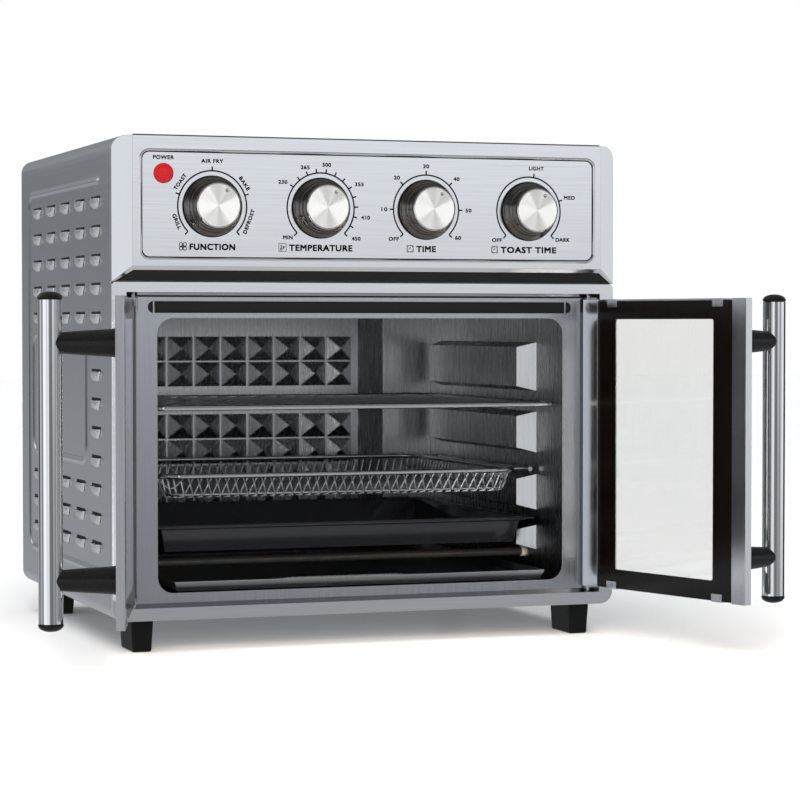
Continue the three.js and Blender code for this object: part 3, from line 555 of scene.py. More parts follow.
def on_outer_bend(edge):
    return all(v.co.z > panel_high.z - 1 * MM or abs(v.co.x) > FACE_SIDE for v in edge.verts)


softened("control_panel", "dial_panel", panel_steel, 0.34 * MM, 3, on_outer_bend, 1.5 * MM)
softened("front_ring", "door_surround", panel_steel, 0.5 * MM, 3)


# %% [markdown]
# ## Turned pieces
# Knobs, bars, caps and standoffs are all turned: one outline, spun about an axis. The outline
# starts and ends on the axis, so both poles are closed. A map called `turned` runs round the
# piece in one direction and out from the axis in the other, for metals that need to know
# which way the lathe ran.

# %% One function for everything turned


def turned_mesh(name, outline, steps=64, parts=None):
    """Spins (radius, height) points, in millimetres, about Z. parts gives each band its material."""
    work = bmesh.new()
    map_layer = work.loops.layers.uv.new("turned")
    rings = []
    for radius, height in outline:
        count = 1 if radius == 0 else steps
        rings.append([work.verts.new((radius * MM * cos(2 * pi * k / steps), radius * MM * sin(2 * pi * k / steps),
                                      height * MM)) for k in range(count)])
    for band in range(len(rings) - 1):
        low, high = rings[band], rings[band + 1]
        for k in range(steps):
            corners = []
            for ring, row, k2 in ((low, band, k), (low, band, k + 1), (high, band + 1, k + 1), (high, band + 1, k)):
                vertex = ring[k2 % len(ring)]
                if vertex not in [c[0] for c in corners]:
                    along = (k + 0.5) / steps if len(ring) == 1 else k2 / steps
                    corners.append((vertex, along, outline[row][0] * 0.05))
            face = work.faces.new([c[0] for c in corners])
            face.material_index = parts[band] if parts else 0
            for loop, (_, along, out) in zip(face.loops, corners):
                loop[map_layer].uv = (along, out)
    bmesh.ops.remove_doubles(work, verts=work.verts, dist=0.001 * MM)  # closes an outline that ends where it began
    bmesh.ops.recalc_face_normals(work, faces=work.faces)
    return from_bmesh(work, name)


def pointed(mesh, place, towards=(0, 0, 1), turn=0.0):
    """Turns a mesh made about Z to point another way, and moves it there."""
    aim = Vector(towards).normalized().to_track_quat("Z", "Y").to_matrix().to_4x4()
    mesh.transform(Matrix.Translation(place) @ aim @ Matrix.Rotation(turn, 4, "Z"))
    return mesh


# %% [markdown]
# ## The knobs
# Each knob is a chromed cup with a shoulder and a groove, and a faced aluminium cap let into
# its top; the cup's flange and wall take a darker copy of the chrome as painted shade. A small
# dimple near the rim points at the scale. It is cut with a ball, as a ball mill would. Under
# the knob lies a thin black ring, painted shade for the knob's contact shadow and the dark
# reflection at its foot.

# %% Knobs
KNOB_OUTLINE = [(0, -15.7), (2.9, -15.7), (2.9, 3), (15, 3), (15, 0.4), (20.9, 0.1), (21.6, 0.5), (21.9, 1.2),
                (21.8, 3.2), (21.2, 4.3), (20.0, 5.0), (19.3, 5.5), (19.0, 6.2), (18.9, 7.6), (18.5, 8.2),
                (17.7, 8.7), (17.4, 9.6), (17.2, 15.9), (16.9, 16.9), (16.4, 17.6), (15.9, 17.95), (15.5, 17.9),
                (15.2, 17.7), (8.0, 17.62), (0, 17.6)]
WALL_BANDS, CAP_BANDS = range(5, 19), range(21, 24)
# The flange and wall bands take the darker chrome, which is painted shade.
KNOB_FINISHES = [knob_chrome, shaded_wall_chrome, cap_aluminium]
POINTER_ANGLE = radians(29)
POINTER_OUT = 12.7 * MM
KNOBS = ["function", "temperature", "time", "toast"]
dial_face = panel_low.y + 0.8 * MM
knob_seat = dial_face - 0.3 * MM


def cut_ball(mesh, place, radius):
    """Takes a ball-shaped bite out of a mesh."""
    ball = bpy.data.objects.new("ball", bpy.data.meshes.new("ball"))
    work = bmesh.new()
    bmesh.ops.create_uvsphere(work, u_segments=20, v_segments=12, radius=radius)
    work.to_mesh(ball.data)
    work.free()
    ball.location = place
    ball.data.materials.append(knob_chrome)
    holder = bpy.data.objects.new("holder", mesh)
    for one in (ball, holder):
        bpy.context.scene.collection.objects.link(one)
    cut = holder.modifiers.new("cut", "BOOLEAN")
    cut.object = ball
    cut.solver = "EXACT"
    result = applied(holder)
    bpy.data.objects.remove(ball)
    return result


def applied(holder):
    """The mesh that an object's modifiers make; the object itself is removed."""
    bpy.context.view_layer.update()
    graph = bpy.context.evaluated_depsgraph_get()
    mesh = bpy.data.meshes.new_from_object(holder.evaluated_get(graph), preserve_all_data_layers=True,
                                           depsgraph=graph)
    bpy.data.objects.remove(holder)
    return mesh


def make_knob(name):
    low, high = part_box(f"{name}_knob")
    axis = Vector(((low.x + high.x) / 2, knob_seat, (low.z + high.z) / 2))
    bands = [2 if band in CAP_BANDS else 1 if band in WALL_BANDS else 0 for band in range(len(KNOB_OUTLINE) - 1)]
    mesh = turned_mesh(name, KNOB_OUTLINE, 72, bands)
    pointer = Vector((POINTER_OUT * sin(POINTER_ANGLE), POINTER_OUT * cos(POINTER_ANGLE), 18.4 * MM))
    for finish in KNOB_FINISHES:
        mesh.materials.append(finish)
    mesh = cut_ball(mesh, pointer, 1.6 * MM)
    mesh.transform(Matrix.Translation(axis) @ Matrix.Rotation(radians(90), 4, "X"))
    made_piece(f"{name}_grip", mesh, KNOB_FINISHES,
               stands_for=f"{name}_knob", smooth=30, weighted=False)
    # The black ring is painted shade round the knob's foot.
    ring = turned_mesh(name, [(21.2, 0), (22.3, 0), (22.6, 0.1), (22.6, 0.22), (22.3, 0.32), (21.2, 0.32), (21.2, 0)], 72)
    ring.transform(Matrix.Translation((axis.x, dial_face - 0.02 * MM, axis.z)) @ Matrix.Rotation(radians(90), 4, "X"))
    made_piece(f"{name}_shadow_ring", ring, black_nylon_and_shade, "oven_body")
    return axis


knob_axes = {name: make_knob(name) for name in KNOBS}

# %% [markdown]
# ## The power lamp
# A pressed red lens with a flat middle and a rounded rim, seated in the panel.

# %% Power lamp
lamp = middle_of("power_lamp")
lens = turned_mesh("lens", [(0, -5), (5.6, -5), (5.6, -0.2), (7.2, -0.2), (7.35, 0.2), (7.2, 1.0), (6.6, 1.6),
                            (5.6, 1.75), (5.0, 1.2), (4.6, 1.15), (4.2, 1.5), (0, 1.6)], 48)
lens.transform(Matrix.Translation((lamp.x, dial_face - 0.3 * MM, lamp.z)) @ Matrix.Rotation(radians(90), 4, "X"))
made_piece("lamp_lens", lens, lamp_lens, stands_for="power_lamp", smooth=50)

# %% [markdown]
# ## Growing what repeats
# Scales, louvres and wires repeat, so Geometry Nodes make them. Every tree has named inputs
# for its sizes, ends by turning its copies into real mesh, and sets the material last.

# %% Geometry Nodes helpers


def new_tree(name, **inputs):
    """A geometry tree with a named input for each size; returns it and those sockets."""
    tree = bpy.data.node_groups.new(name, "GeometryNodeTree")
    tree.interface.new_socket("Geometry", in_out="OUTPUT", socket_type="NodeSocketGeometry")
    for size, kind in {**inputs, "Finish": "Material"}.items():
        tree.interface.new_socket(size, in_out="INPUT", socket_type="NodeSocket" + kind)
    return tree, tree.nodes.new("NodeGroupInput").outputs


def end_tree(tree, geometry, finish):
    real = add(tree, "GeometryNodeRealizeInstances", {"Geometry": geometry})
    painted = add(tree, "GeometryNodeSetMaterial", {"Geometry": real.outputs[0], "Material": finish})
    tree.links.new(painted.outputs[0], tree.nodes.new("NodeGroupOutput").inputs[0])
    return tree


def grown(tree, **sizes):
    """Runs a tree with these sizes on an empty object and returns the plain mesh."""
    holder = bpy.data.objects.new("grown", bpy.data.meshes.new("grown"))
    bpy.context.scene.collection.objects.link(holder)
    growth = holder.modifiers.new("growth", "NODES")
    growth.node_group = tree
    for item in tree.interface.items_tree:
        if item.in_out == "INPUT" and item.name in sizes:
            growth[item.identifier] = sizes[item.name]
    return applied(holder)


def gathered(meshes, name):
    """Several meshes as one."""
    work = bmesh.new()
    for mesh in meshes:
        work.from_mesh(mesh)
    return from_bmesh(work, name)


def do(tree, operation, *values, kind="ShaderNodeMath"):
    """One step of arithmetic inside a tree."""
    return add(tree, kind, dict(enumerate(values)), operation=operation).outputs[0]


# %% [markdown]
# ## Printed scales
# Each dial has an arc with ticks that point outwards. One tree draws an arc and any number of
# even ticks between two angles, counted clockwise from the top. A dial with uneven marks runs
# it more than once.

# %% The scale tree
PRINT = 0.06 * MM
SCALE_RADIUS = 26 * MM
SCALE_END = 135


def scale_tree():
    tree, size = new_tree("dial_scale", Radius="Float", Line="Float", Start="Float", Sweep="Float",
                          Ticks="Int", First="Float", Step="Float", Length="Float")
    ink = add(tree, "GeometryNodeCurvePrimitiveQuadrilateral", {"Width": size["Line"], "Height": PRINT})
    arc = add(tree, "GeometryNodeCurveArc", {"Resolution": 90, "Radius": size["Radius"],
                                             "Start Angle": size["Start"], "Sweep Angle": size["Sweep"]})
    line = add(tree, "GeometryNodeCurveToMesh", {"Curve": arc.outputs[0], "Profile Curve": ink.outputs[0],
                                                 "Fill Caps": True})
    bar_size = add(tree, "ShaderNodeCombineXYZ", {"X": size["Line"], "Y": size["Length"], "Z": PRINT})
    bar = add(tree, "GeometryNodeMeshCube", {"Size": bar_size.outputs[0]})
    half = do(tree, "MULTIPLY", size["Length"], 0.5)
    out = add(tree, "ShaderNodeCombineXYZ", {"Y": do(tree, "ADD", size["Radius"], half)})
    tick = add(tree, "GeometryNodeTransform", {"Geometry": bar.outputs[0], "Translation": out.outputs[0]})
    places = add(tree, "GeometryNodeMeshLine", {"Count": size["Ticks"], "Offset": (0, 0, 0)})
    index = add(tree, "GeometryNodeInputIndex")
    angle = do(tree, "ADD", do(tree, "MULTIPLY", index.outputs[0], size["Step"]), size["First"])
    turn = add(tree, "ShaderNodeCombineXYZ", {"Z": do(tree, "MULTIPLY", angle, -1.0)})
    ticks = add(tree, "GeometryNodeInstanceOnPoints", {"Points": places.outputs[0], "Instance": tick.outputs[0],
                                                       "Rotation": turn.outputs[0]})
    both = add(tree, "GeometryNodeJoinGeometry")
    for geometry in (line.outputs[0], ticks.outputs[0]):
        tree.links.new(geometry, both.inputs[0])
    return end_tree(tree, both.outputs[0], size["Finish"])


SCALE = scale_tree()


def scale_marks(ticks, first, step, radius=SCALE_RADIUS, line=1.1 * MM, sweep=2 * SCALE_END, length=3.1 * MM):
    return grown(SCALE, Radius=radius, Line=line, Start=radians(90 - sweep / 2), Sweep=radians(sweep),
                 Ticks=ticks, First=radians(first), Step=radians(step), Length=length, Finish=dial_ink)


# %% [markdown]
# ## Words and numbers
# The words are set in a plain bold letter, turned into mesh, and laid on the panel. Round the
# first dial they lean with the scale; below the level they are turned about, so that they are
# read from the middle.

# %% Lettering


def word(text, height, wide, across, up, lean=0.0, bold=0.16 * MM):
    """Letters of that cap height and width, centred on a point of the dial's own flat."""
    data = bpy.data.curves.new("word", "FONT")
    data.body = text
    data.size = height / 0.73
    data.align_x = "CENTER"
    data.extrude = PRINT / 2
    data.space_character = 1.1
    data.resolution_u = 3
    holder = bpy.data.objects.new("word", data)
    bpy.context.scene.collection.objects.link(holder)
    mesh = applied(holder)
    reach = [v.co.x for v in mesh.vertices]
    stretch = wide / (max(reach) - min(reach))
    mesh.transform(Matrix.Translation((across, up, 0)) @ Matrix.Rotation(lean, 4, "Z")
                   @ Matrix.Diagonal((stretch, 1, 1, 1))
                   @ Matrix.Translation((-(max(reach) + min(reach)) / 2, -height / 2, 0)))
    # Four copies moved by a hair thicken every stroke and leave the letters' sharp inner corners open.
    copies = [mesh.copy() for _ in range(4)]
    for copy, (right, above) in zip(copies, ((-1, -1), (1, -1), (1, 1), (-1, 1))):
        copy.transform(Matrix.Translation((right * bold, above * bold, 0)))
    return gathered(copies, "word")


def word_at(text, wide, angle, radius, follow=False, shift=0.0):
    """A word at an angle of the scale, clockwise from the top, its width and radius in millimetres."""
    turn = radians(angle)
    lean = 0.0
    if follow:
        lean = -turn if abs(angle) < 90 else pi - turn
    return word(text, 2.8 * MM, wide * MM, (radius * sin(turn) + shift) * MM, radius * cos(turn) * MM, lean)


def ring_mark(across, up, radius, line=0.55 * MM, sweep=360, start=0, ticks=0):
    mesh = grown(SCALE, Radius=radius, Line=line, Start=radians(start), Sweep=radians(sweep), Ticks=ticks,
                 First=0.0, Step=radians(45), Length=0.8 * MM, Finish=dial_ink)
    mesh.transform(Matrix.Translation((across, up, 0)))
    return mesh


def line_mark(start, end, line=0.5 * MM):
    """A short straight line of ink between two points, in millimetres."""
    a, b = Vector(start) * MM, Vector(end) * MM
    work = bmesh.new()
    bmesh.ops.create_cube(work, size=1)
    mesh = from_bmesh(work, "line")
    middle, along = (a + b) / 2, b - a
    mesh.transform(Matrix.Translation((middle.x, middle.y, 0)) @ Matrix.Rotation(atan2(along.y, along.x), 4, "Z")
                   @ Matrix.Diagonal((along.length, line, PRINT, 1)))
    return mesh


def fan_icon(x, y):
    loops = [ring_mark((x + 1.5 * a) * MM, (y + 1.5 * b) * MM, 1.25 * MM) for a in (-1, 1) for b in (-1, 1)]
    return loops + [line_mark((x - 2.4, y), (x + 2.4, y)), line_mark((x, y - 2.4), (x, y + 2.4))]


def heat_icon(x, y):
    box = [(x - 2.8, y - 3), (x + 2.8, y - 3), (x + 2.8, y + 3), (x - 2.8, y + 3)]
    sides = [line_mark(box[i], box[(i + 1) % 4], 0.4 * MM) for i in range(4)]
    bulb = [ring_mark((x - 1) * MM, (y - 1.4) * MM, 0.7 * MM), line_mark((x - 1, y - 0.8), (x - 1, y + 2.1), 0.7 * MM)]
    return sides + bulb + [word("F", 2.3 * MM, 1.6 * MM, (x + 1.1) * MM, y * MM, bold=0.08 * MM)]


def clock_icon(x, y):
    hands = [line_mark((x, y), (x, y + 1.5)), line_mark((x, y), (x - 1.1, y))]
    ears = [ring_mark(x * MM, y * MM, 3.3 * MM, 0.35 * MM, 36, start) for start in (27, 117, 207, 297)]
    return [ring_mark(x * MM, y * MM, 2.45 * MM)] + hands + ears


CAPTION_UP = -29.3


def caption(text, half, icon):
    return [word(text, 4.5 * MM, 2 * half * MM, 0, CAPTION_UP * MM, bold=0.27 * MM)] + icon(-half - 5.2, CAPTION_UP)


def function_print():
    marks = [scale_marks(2, -SCALE_END, 2 * SCALE_END), scale_marks(3, -71, 71)]
    words = [word_at("AIR FRY", 16.4, 0, 33.1), word_at("TOAST", 13.4, -54, 29.9, follow=True),
             word_at("BAKE", 11.2, 55, 29.9, follow=True), word_at("GRILL", 11.6, -113, 28.9, follow=True),
             word_at("DEFROST", 18.6, 111, 29.6, follow=True)]
    return marks + words + caption("FUNCTION", 17.0, fan_icon)


def temperature_print():
    first = -54.4
    step = (SCALE_END - first) / 12
    marks = [scale_marks(1, -SCALE_END, 0), scale_marks(13, first, step)]
    numbers = {0: ("230", -2.9), 2: ("265", 0.5), 4: ("300", -0.3), 7: ("355", 3.1), 10: ("410", 3.1), 12: ("450", 3.8)}
    words = [word_at(text, 6.6, first + k * step - (2 if k > 9 else 0), 32.5, shift=shift)
             for k, (text, shift) in numbers.items()]
    return marks + words + [word_at("MIN", 7.2, -130.5, 33.6)] + caption("TEMPERATURE", 24.4, heat_icon)


def time_print():
    places = [(-90, 33.2), (-44.5, 33.3), (0, 32.6), (46, 33.8), (90, 34.0), (129, 32.9)]
    words = [word_at(str(10 * k + 10), 4.6, angle, radius) for k, (angle, radius) in enumerate(places)]
    off = [word_at("OFF", 7.9, -130.5, 33.9)]
    return [scale_marks(7, -SCALE_END, 45)] + words + off + caption("TIME", 7.6, clock_icon)


def toast_print():
    marks = [scale_marks(2, -SCALE_END, 2 * SCALE_END), scale_marks(2, 9, 63)]
    words = [word_at("LIGHT", 12.0, 11, 33.3), word_at("MED", 8.9, 72, 35.4),
             word_at("DARK", 11.4, 127, 35.3), word_at("OFF", 7.9, -130.5, 33.9)]
    return marks + words + caption("TOAST TIME", 22.6, clock_icon)


def lay_on_panel(meshes, across, up):
    mesh = gathered(meshes, "print")
    mesh.transform(Matrix.Translation((across, dial_face - PRINT / 2, up)) @ Matrix.Rotation(radians(90), 4, "X"))
    return mesh


PRINTS = {"function": function_print, "temperature": temperature_print, "time": time_print, "toast": toast_print}
sheets = [lay_on_panel(PRINTS[name](), knob_axes[name].x, knob_axes[name].z) for name in KNOBS]
sheets.append(lay_on_panel([word("POWER", 2.8 * MM, 15.3 * MM, 0, 11.6 * MM)], lamp.x, lamp.z))
print_mesh = gathered(sheets, "dial_print")
made_piece("dial_print", print_mesh, dial_ink, "oven_body", weighted=False)
print("print:", len(print_mesh.polygons), "faces")

# %% [markdown]
# ## The pressed casing
# The casing is one sheet, bent over the top and down both sides, then in under the floor. Its
# sides carry pressed beads that stop a large flat sheet from drumming. The sheet is a grid of
# lines along and across it, close together where a bead is and far apart where it is flat. A
# bead lifts the sheet along a rounded outline, in the shape of a cosine.

# %% Casing with beads
SHEET = 1.0 * MM
BEND = 10 * MM
LIP = 22 * MM
BEAD_HALF = 2.8 * MM
BEAD_TALL = 1.05 * MM
# Each bead's outline on a side wall: depth behind the door frame's front, then height, corner and start.
BEADS = [((-60, 296), (57, 346), 13, 42), ((84, 280), (136.5, 232), 13, -1e3)]


def bead_height(depth, height):
    lift = 0.0
    for (front, rear), (low, high), corner, start in BEADS:
        x = abs(depth - (front + rear) / 2 * MM) - ((rear - front) / 2 - corner) * MM
        z = abs(height - (low + high) / 2 * MM) - ((high - low) / 2 - corner) * MM
        away = abs(hypot(max(x, 0), max(z, 0)) + min(max(x, z), 0) - corner * MM)
        open_end = min(max((depth - (start - 4) * MM) / (6 * MM), 0), 1)
        if away < BEAD_HALF:
            lift = max(lift, BEAD_TALL * (0.5 + 0.5 * cos(pi * away / BEAD_HALF)) * open_end)
    return lift


def grid_lines(start, end, busy, reach, fine, coarse):
    """Places from start to end, fine within reach of each busy place and coarse elsewhere."""
    places = [start]
    while places[-1] < end - 1e-6:
        near = any(abs(places[-1] - b) < reach or (places[-1] < b - reach < places[-1] + coarse) for b in busy)
        places.append(min(places[-1] + (fine if near else coarse), end))
    return places


def casing_section():
    """Points round the casing's section: (x, z, outward x, outward z, side), from lip to lip."""
    half, low, high = shell_high.x, shell_low.z, shell_high.z
    busy = [edge * MM for _, (a, b), _, _ in BEADS for edge in (a, b)]
    rows = grid_lines(low + BEND, high - BEND, busy, 16 * MM, 1.1 * MM, 9 * MM)
    arc = [pi / 2 * k / 8 for k in range(1, 8)]
    left = [(-half + LIP, low, 0, -1, 0), (-half + BEND, low, 0, -1, 0)]
    left += [(-half + BEND - BEND * sin(a), low + BEND - BEND * cos(a), -sin(a), -cos(a), 0) for a in arc]
    left += [(-half, z, -1, 0, 1) for z in rows]
    left += [(-half + BEND - BEND * cos(a), high - BEND + BEND * sin(a), -cos(a), sin(a), 0) for a in arc]
    left += [(-half + BEND, high, 0, 1, 0), (-half / 2, high, 0, 1, 0)]
    right = [(-x, z, -nx, nz, side) for x, z, nx, nz, side in reversed(left)]
    return left + [(0, high, 0, 1, 0)] + right


def make_casing():
    section = casing_section()
    busy = [ring_low.y + edge * MM for (a, b), _, _, s in BEADS for edge in (a, b, s)]
    columns = grid_lines(shell_low.y, shell_high.y, busy, 16 * MM, 1.3 * MM, 12 * MM)
    work = bmesh.new()
    layers = []
    for inward in (0, SHEET):
        layer = []
        for x, z, nx, nz, side in section:
            row = []
            for y in columns:
                lift = bead_height(y - ring_low.y, z) if side else 0
                row.append(work.verts.new((x + nx * (lift - inward), y, z + nz * (lift - inward))))
            layer.append(row)
        layers.append(layer)
    outer, inner = layers
    last, end = len(section) - 1, len(columns) - 1
    for i in range(last):
        for j in range(end):
            work.faces.new((outer[i][j], outer[i][j + 1], outer[i + 1][j + 1], outer[i + 1][j]))
            work.faces.new((inner[i][j], inner[i + 1][j], inner[i + 1][j + 1], inner[i][j + 1]))
        for j in (0, end):
            work.faces.new((outer[i][j], outer[i + 1][j], inner[i + 1][j], inner[i][j]))
    for j in range(end):
        for i in (0, last):
            work.faces.new((outer[i][j], inner[i][j], inner[i][j + 1], outer[i][j + 1]))
    bmesh.ops.recalc_face_normals(work, faces=work.faces)
    print("casing:", len(work.faces), "faces")
    return from_bmesh(work, "casing_sheet")


made_piece("casing_sheet", make_casing(), casing_steel, stands_for="outer_shell", weighted=False)

# %% [markdown]
# ## Louvres
# Warm air leaves through rows of small louvres: a slit is sheared in the sheet and the metal
# below it is pushed out into a scoop. One scoop is modelled with few faces, and a tree copies
# it in rows and columns. The slit is not cut: a black block of painted shade stands in it.

# %% Louvres in the sides
SCOOP = (27 * MM, 7 * MM, 2.8 * MM)


def row_tree():
    tree, size = new_tree("rows_and_columns", Piece="Object", Columns="Int", Rows="Int", Across="Vector",
                          Along="Vector", First="Vector")
    column = add(tree, "GeometryNodeMeshLine", {"Count": size["Rows"], "Start Location": size["First"],
                                                "Offset": size["Along"]})
    row = add(tree, "GeometryNodeMeshLine", {"Count": size["Columns"], "Offset": size["Across"]})
    lines = add(tree, "GeometryNodeInstanceOnPoints", {"Points": row.outputs[0], "Instance": column.outputs[0]})
    places = add(tree, "GeometryNodeRealizeInstances", {"Geometry": lines.outputs[0]})
    piece = add(tree, "GeometryNodeObjectInfo", {"Object": size["Piece"]}, transform_space="ORIGINAL")
    copies = add(tree, "GeometryNodeInstanceOnPoints", {"Points": places.outputs[0],
                                                        "Instance": piece.outputs["Geometry"]})
    return end_tree(tree, copies.outputs[0], size["Finish"])


ROWS = row_tree()


def rows_of(mesh, first, across, along, columns, rows, finish):
    piece = bpy.data.objects.new("pattern", mesh)
    bpy.context.scene.collection.objects.link(piece)
    made = grown(ROWS, Piece=piece, Columns=columns, Rows=rows, Across=across, Along=along, First=first,
                 Finish=finish)
    bpy.data.objects.remove(piece)
    return made


def scoop_mesh(wide, tall, proud, across=8, down=4):
    """A scoop open at its top, on the XZ plane, bulging towards -Y."""
    work = bmesh.new()
    grid = []
    for i in range(across + 1):
        u = 2 * i / across - 1
        side = sqrt(max(0, 1 - u ** 4))
        grid.append([work.verts.new((u * wide / 2, -proud * side * sqrt(max(0, 1 - (j / down) ** 2)) - 0.02 * MM,
                                     -tall * side * j / down)) for j in range(down + 1)])
    for i in range(across):
        for j in range(down):
            work.faces.new((grid[i][j], grid[i + 1][j], grid[i + 1][j + 1], grid[i][j + 1]))
    bmesh.ops.remove_doubles(work, verts=work.verts, dist=0.01 * MM)
    bmesh.ops.solidify(work, geom=work.faces[:], thickness=0.5 * MM)
    bmesh.ops.recalc_face_normals(work, faces=work.faces)
    return from_bmesh(work, "scoop")


def slit_mesh(wide, tall=2.0 * MM):
    """A black block, painted shade in the opening above a scoop."""
    work = bmesh.new()
    bmesh.ops.create_cube(work, size=1)
    mesh = from_bmesh(work, "slit")
    mesh.transform(Matrix.Translation((0, -0.1 * MM, tall * 0.42)) @ Matrix.Diagonal((wide, 0.5 * MM, tall, 1)))
    return mesh


COLUMN_FIRST, COLUMN_STEP = 50.4 * MM, 52.7 * MM
ROW_TOP, ROW_STEP = 333 * MM, 21.3 * MM
LOUVRE_GROUPS = [(0, 5, 0, 5), (0, 1, 5, 5), (0, 5, 10, 3)]      # first column, columns, first row, rows


def side_louvres(side, mesh, finish):
    facing = Matrix.Rotation(radians(-90 if side < 0 else 90), 4, "Z")
    mesh.transform(facing)
    made = []
    for column, columns, row, rows in LOUVRE_GROUPS:
        first = (side * shell_high.x, ring_low.y + COLUMN_FIRST + column * COLUMN_STEP, ROW_TOP - row * ROW_STEP)
        made.append(rows_of(mesh, first, (0, COLUMN_STEP, 0), (0, 0, -ROW_STEP), columns, rows, finish))
    return gathered(made, "louvres")


for side, name in ((-1, "left"), (1, "right")):
    made_piece(f"{name}_louvres", side_louvres(side, scoop_mesh(*SCOOP), scoop_steel), scoop_steel,
               "oven_body", smooth=60, weighted=False)
    # The slits are black blocks of painted shade.
    made_piece(f"{name}_louvre_slits", side_louvres(side, slit_mesh(SCOOP[0]), painted_black_shade), painted_black_shade,
               "oven_body", weighted=False)

# %% [markdown]
# ## Doors
# A door is a pane of tempered glass in a folded steel frame. A black border is printed on its
# inner face and hides the glue. Everything on it is modelled in the door's own directions, X
# towards the hinge, -Y out of the oven, and then moved to where the open door stands. The
# frame's hinge gives that place and its angle.

# %% Where the doors stand
DOOR_THICK = 6.0
PIN_INSET = 2.5
DOOR_WIDE = 181.2
PANE_HALF = 1.7
BORDER = {"hinge": 36.6, "free": 145.7, "low": 52.8, "high": 244.0}


def door_place(side):
    joint = next(j for j in frame["joints"] if j["name"] == f"{side}_door_hinge")
    opened = radians(-min(joint["range_deg"])) * (1 if side == "right" else -1)
    place = Matrix.Translation(joint["pos_m"]) @ Matrix.Rotation(opened, 4, "Z")
    return place if side == "right" else place @ Matrix.Rotation(pi, 4, "Y")


def plate_with_window(name, outer, window, y, corner, round_off):
    """A flat plate in XZ, from y[0] to y[1], with a rounded window. Millimetres."""
    curve = bpy.data.curves.new(name, "CURVE")
    curve.dimensions = "2D"
    curve.fill_mode = "BOTH"
    curve.extrude = (y[1] - y[0]) / 2 * MM - round_off * MM
    curve.bevel_depth = round_off * MM
    curve.offset = -round_off * MM
    curve.bevel_resolution = 2
    for (x0, x1, z0, z1), radius in ((outer, 0.6), (window, corner)) if window else ((outer, 0.6),):
        points = []
        for cx, cz, start in ((x1 - radius, z0 + radius, -90), (x1 - radius, z1 - radius, 0),
                              (x0 + radius, z1 - radius, 90), (x0 + radius, z0 + radius, 180)):
            points += [(cx + radius * cos(radians(start + 15 * k)), cz + radius * sin(radians(start + 15 * k)))
                       for k in range(7)]
        spline = curve.splines.new("POLY")
        spline.points.add(len(points) - 1)
        spline.use_cyclic_u = True
        for point, (x, z) in zip(spline.points, points):
            point.co = (x * MM, z * MM, 0, 1)
    holder = bpy.data.objects.new(name, curve)
    bpy.context.scene.collection.objects.link(holder)
    mesh = applied(holder)
    mesh.transform(Matrix.Translation((0, (y[0] + y[1]) / 2 * MM, 0)) @ Matrix.Rotation(radians(90), 4, "X"))
    return mesh


def make_door(side):
    body = f"{side}_door"
    place = door_place(side)
    hinge_z = place.translation.z / MM
    half = (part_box(f"{side}_door_frame")[1].z / MM - hinge_z)
    x0, x1 = PIN_INSET - DOOR_WIDE + 1.3, PIN_INSET - 5.3
    pane = plate_with_window("pane", (x0, x1, -half + 1.3, half - 1.3), None, (-PANE_HALF, PANE_HALF), 0, 0.4)
    sign = 1 if side == "right" else -1
    low, high = sorted((sign * (BORDER["low"] - hinge_z), sign * (BORDER["high"] - hinge_z)))
    window = (PIN_INSET - BORDER["free"], PIN_INSET - BORDER["hinge"], low, high)
    border = plate_with_window("border", (x0 + 0.3, x1 - 0.3, -half + 1.6, half - 1.6), window,
                               (PANE_HALF + 0.02, PANE_HALF + 0.16), 1.5, 0.02)
    for mesh in (pane, border):
        mesh.transform(place)
    made_piece(f"{side}_pane", pane, door_glass, stands_for=f"{side}_door_glass", smooth=60,
               weighted=False)
    made_piece(f"{side}_printed_border", border, glass_print, body, weighted=False)
    make_handle(side, body, place)


# %% [markdown]
# ## Handles
# A chromed tube stands on two tapered black posts and is closed by two black domes. The posts
# are widest at the door, where the load is.

# %% Handles
BAR_FROM_INSIDE = 50.7
POST_OUTLINE = [(0, 0), (9.7, 0), (9.9, 0.4), (9.75, 1.2), (9.5, 3), (8.9, 12), (8.2, 24), (7.5, 33), (7.2, 37),
                (7.0, 40), (6.6, 43), (0, 43.4)]


def make_handle(side, body, place):
    low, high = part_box(f"{side}_handle_bar")
    centre = (low + high) / 2
    length = (high.z - low.z) / MM
    bar_outline = [(0, 0), (7.6, 0), (8.25, 0.5), (8.25, length - 0.5), (7.6, length), (0, length)]
    bar = pointed(turned_mesh("bar", bar_outline, 72), (centre.x, centre.y, low.z))
    made_piece(f"{side}_grab_bar", bar, bar_chrome, stands_for=f"{side}_handle_bar")
    dome = [(0, -3), (7.4, -3), (7.4, 0.1), (8.45, 0.1), (8.6, 0.8), (8.35, 1.7), (7.5, 2.9), (6.1, 3.9),
            (4.2, 4.6), (2.1, 4.95), (0, 5.05)]
    outwards = place.to_3x3() @ Vector((0, -1, 0))
    for end, z, way in (("bottom", low.z, -1), ("top", high.z, 1)):
        cap = pointed(turned_mesh("cap", dome, 56), (centre.x, centre.y, z), (0, 0, way))
        made_piece(f"{side}_bar_cap_{end}", cap, handle_plastic, body,
                   f"{side}_handle_cap_{end}", smooth=50)
        post_low, post_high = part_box(f"{side}_handle_standoff_{end}")
        start = Vector((centre.x, centre.y, (post_low.z + post_high.z) / 2))
        start -= outwards * (BAR_FROM_INSIDE - DOOR_THICK - 0.3) * MM
        post = pointed(turned_mesh("post", POST_OUTLINE, 56), start, outwards)
        made_piece(f"{side}_post_{end}", post, handle_plastic, body,
                   f"{side}_handle_standoff_{end}", smooth=50)


for side in ("left", "right"):
    make_door(side)

# %% [markdown]
# ## Wire shelf, basket and trays
# The shelf is a bent rim with thin wires welded across it. A tree draws a rim as a rounded
# rectangle with a round section, and another repeats straight wires.

# %% Rims and straight wires


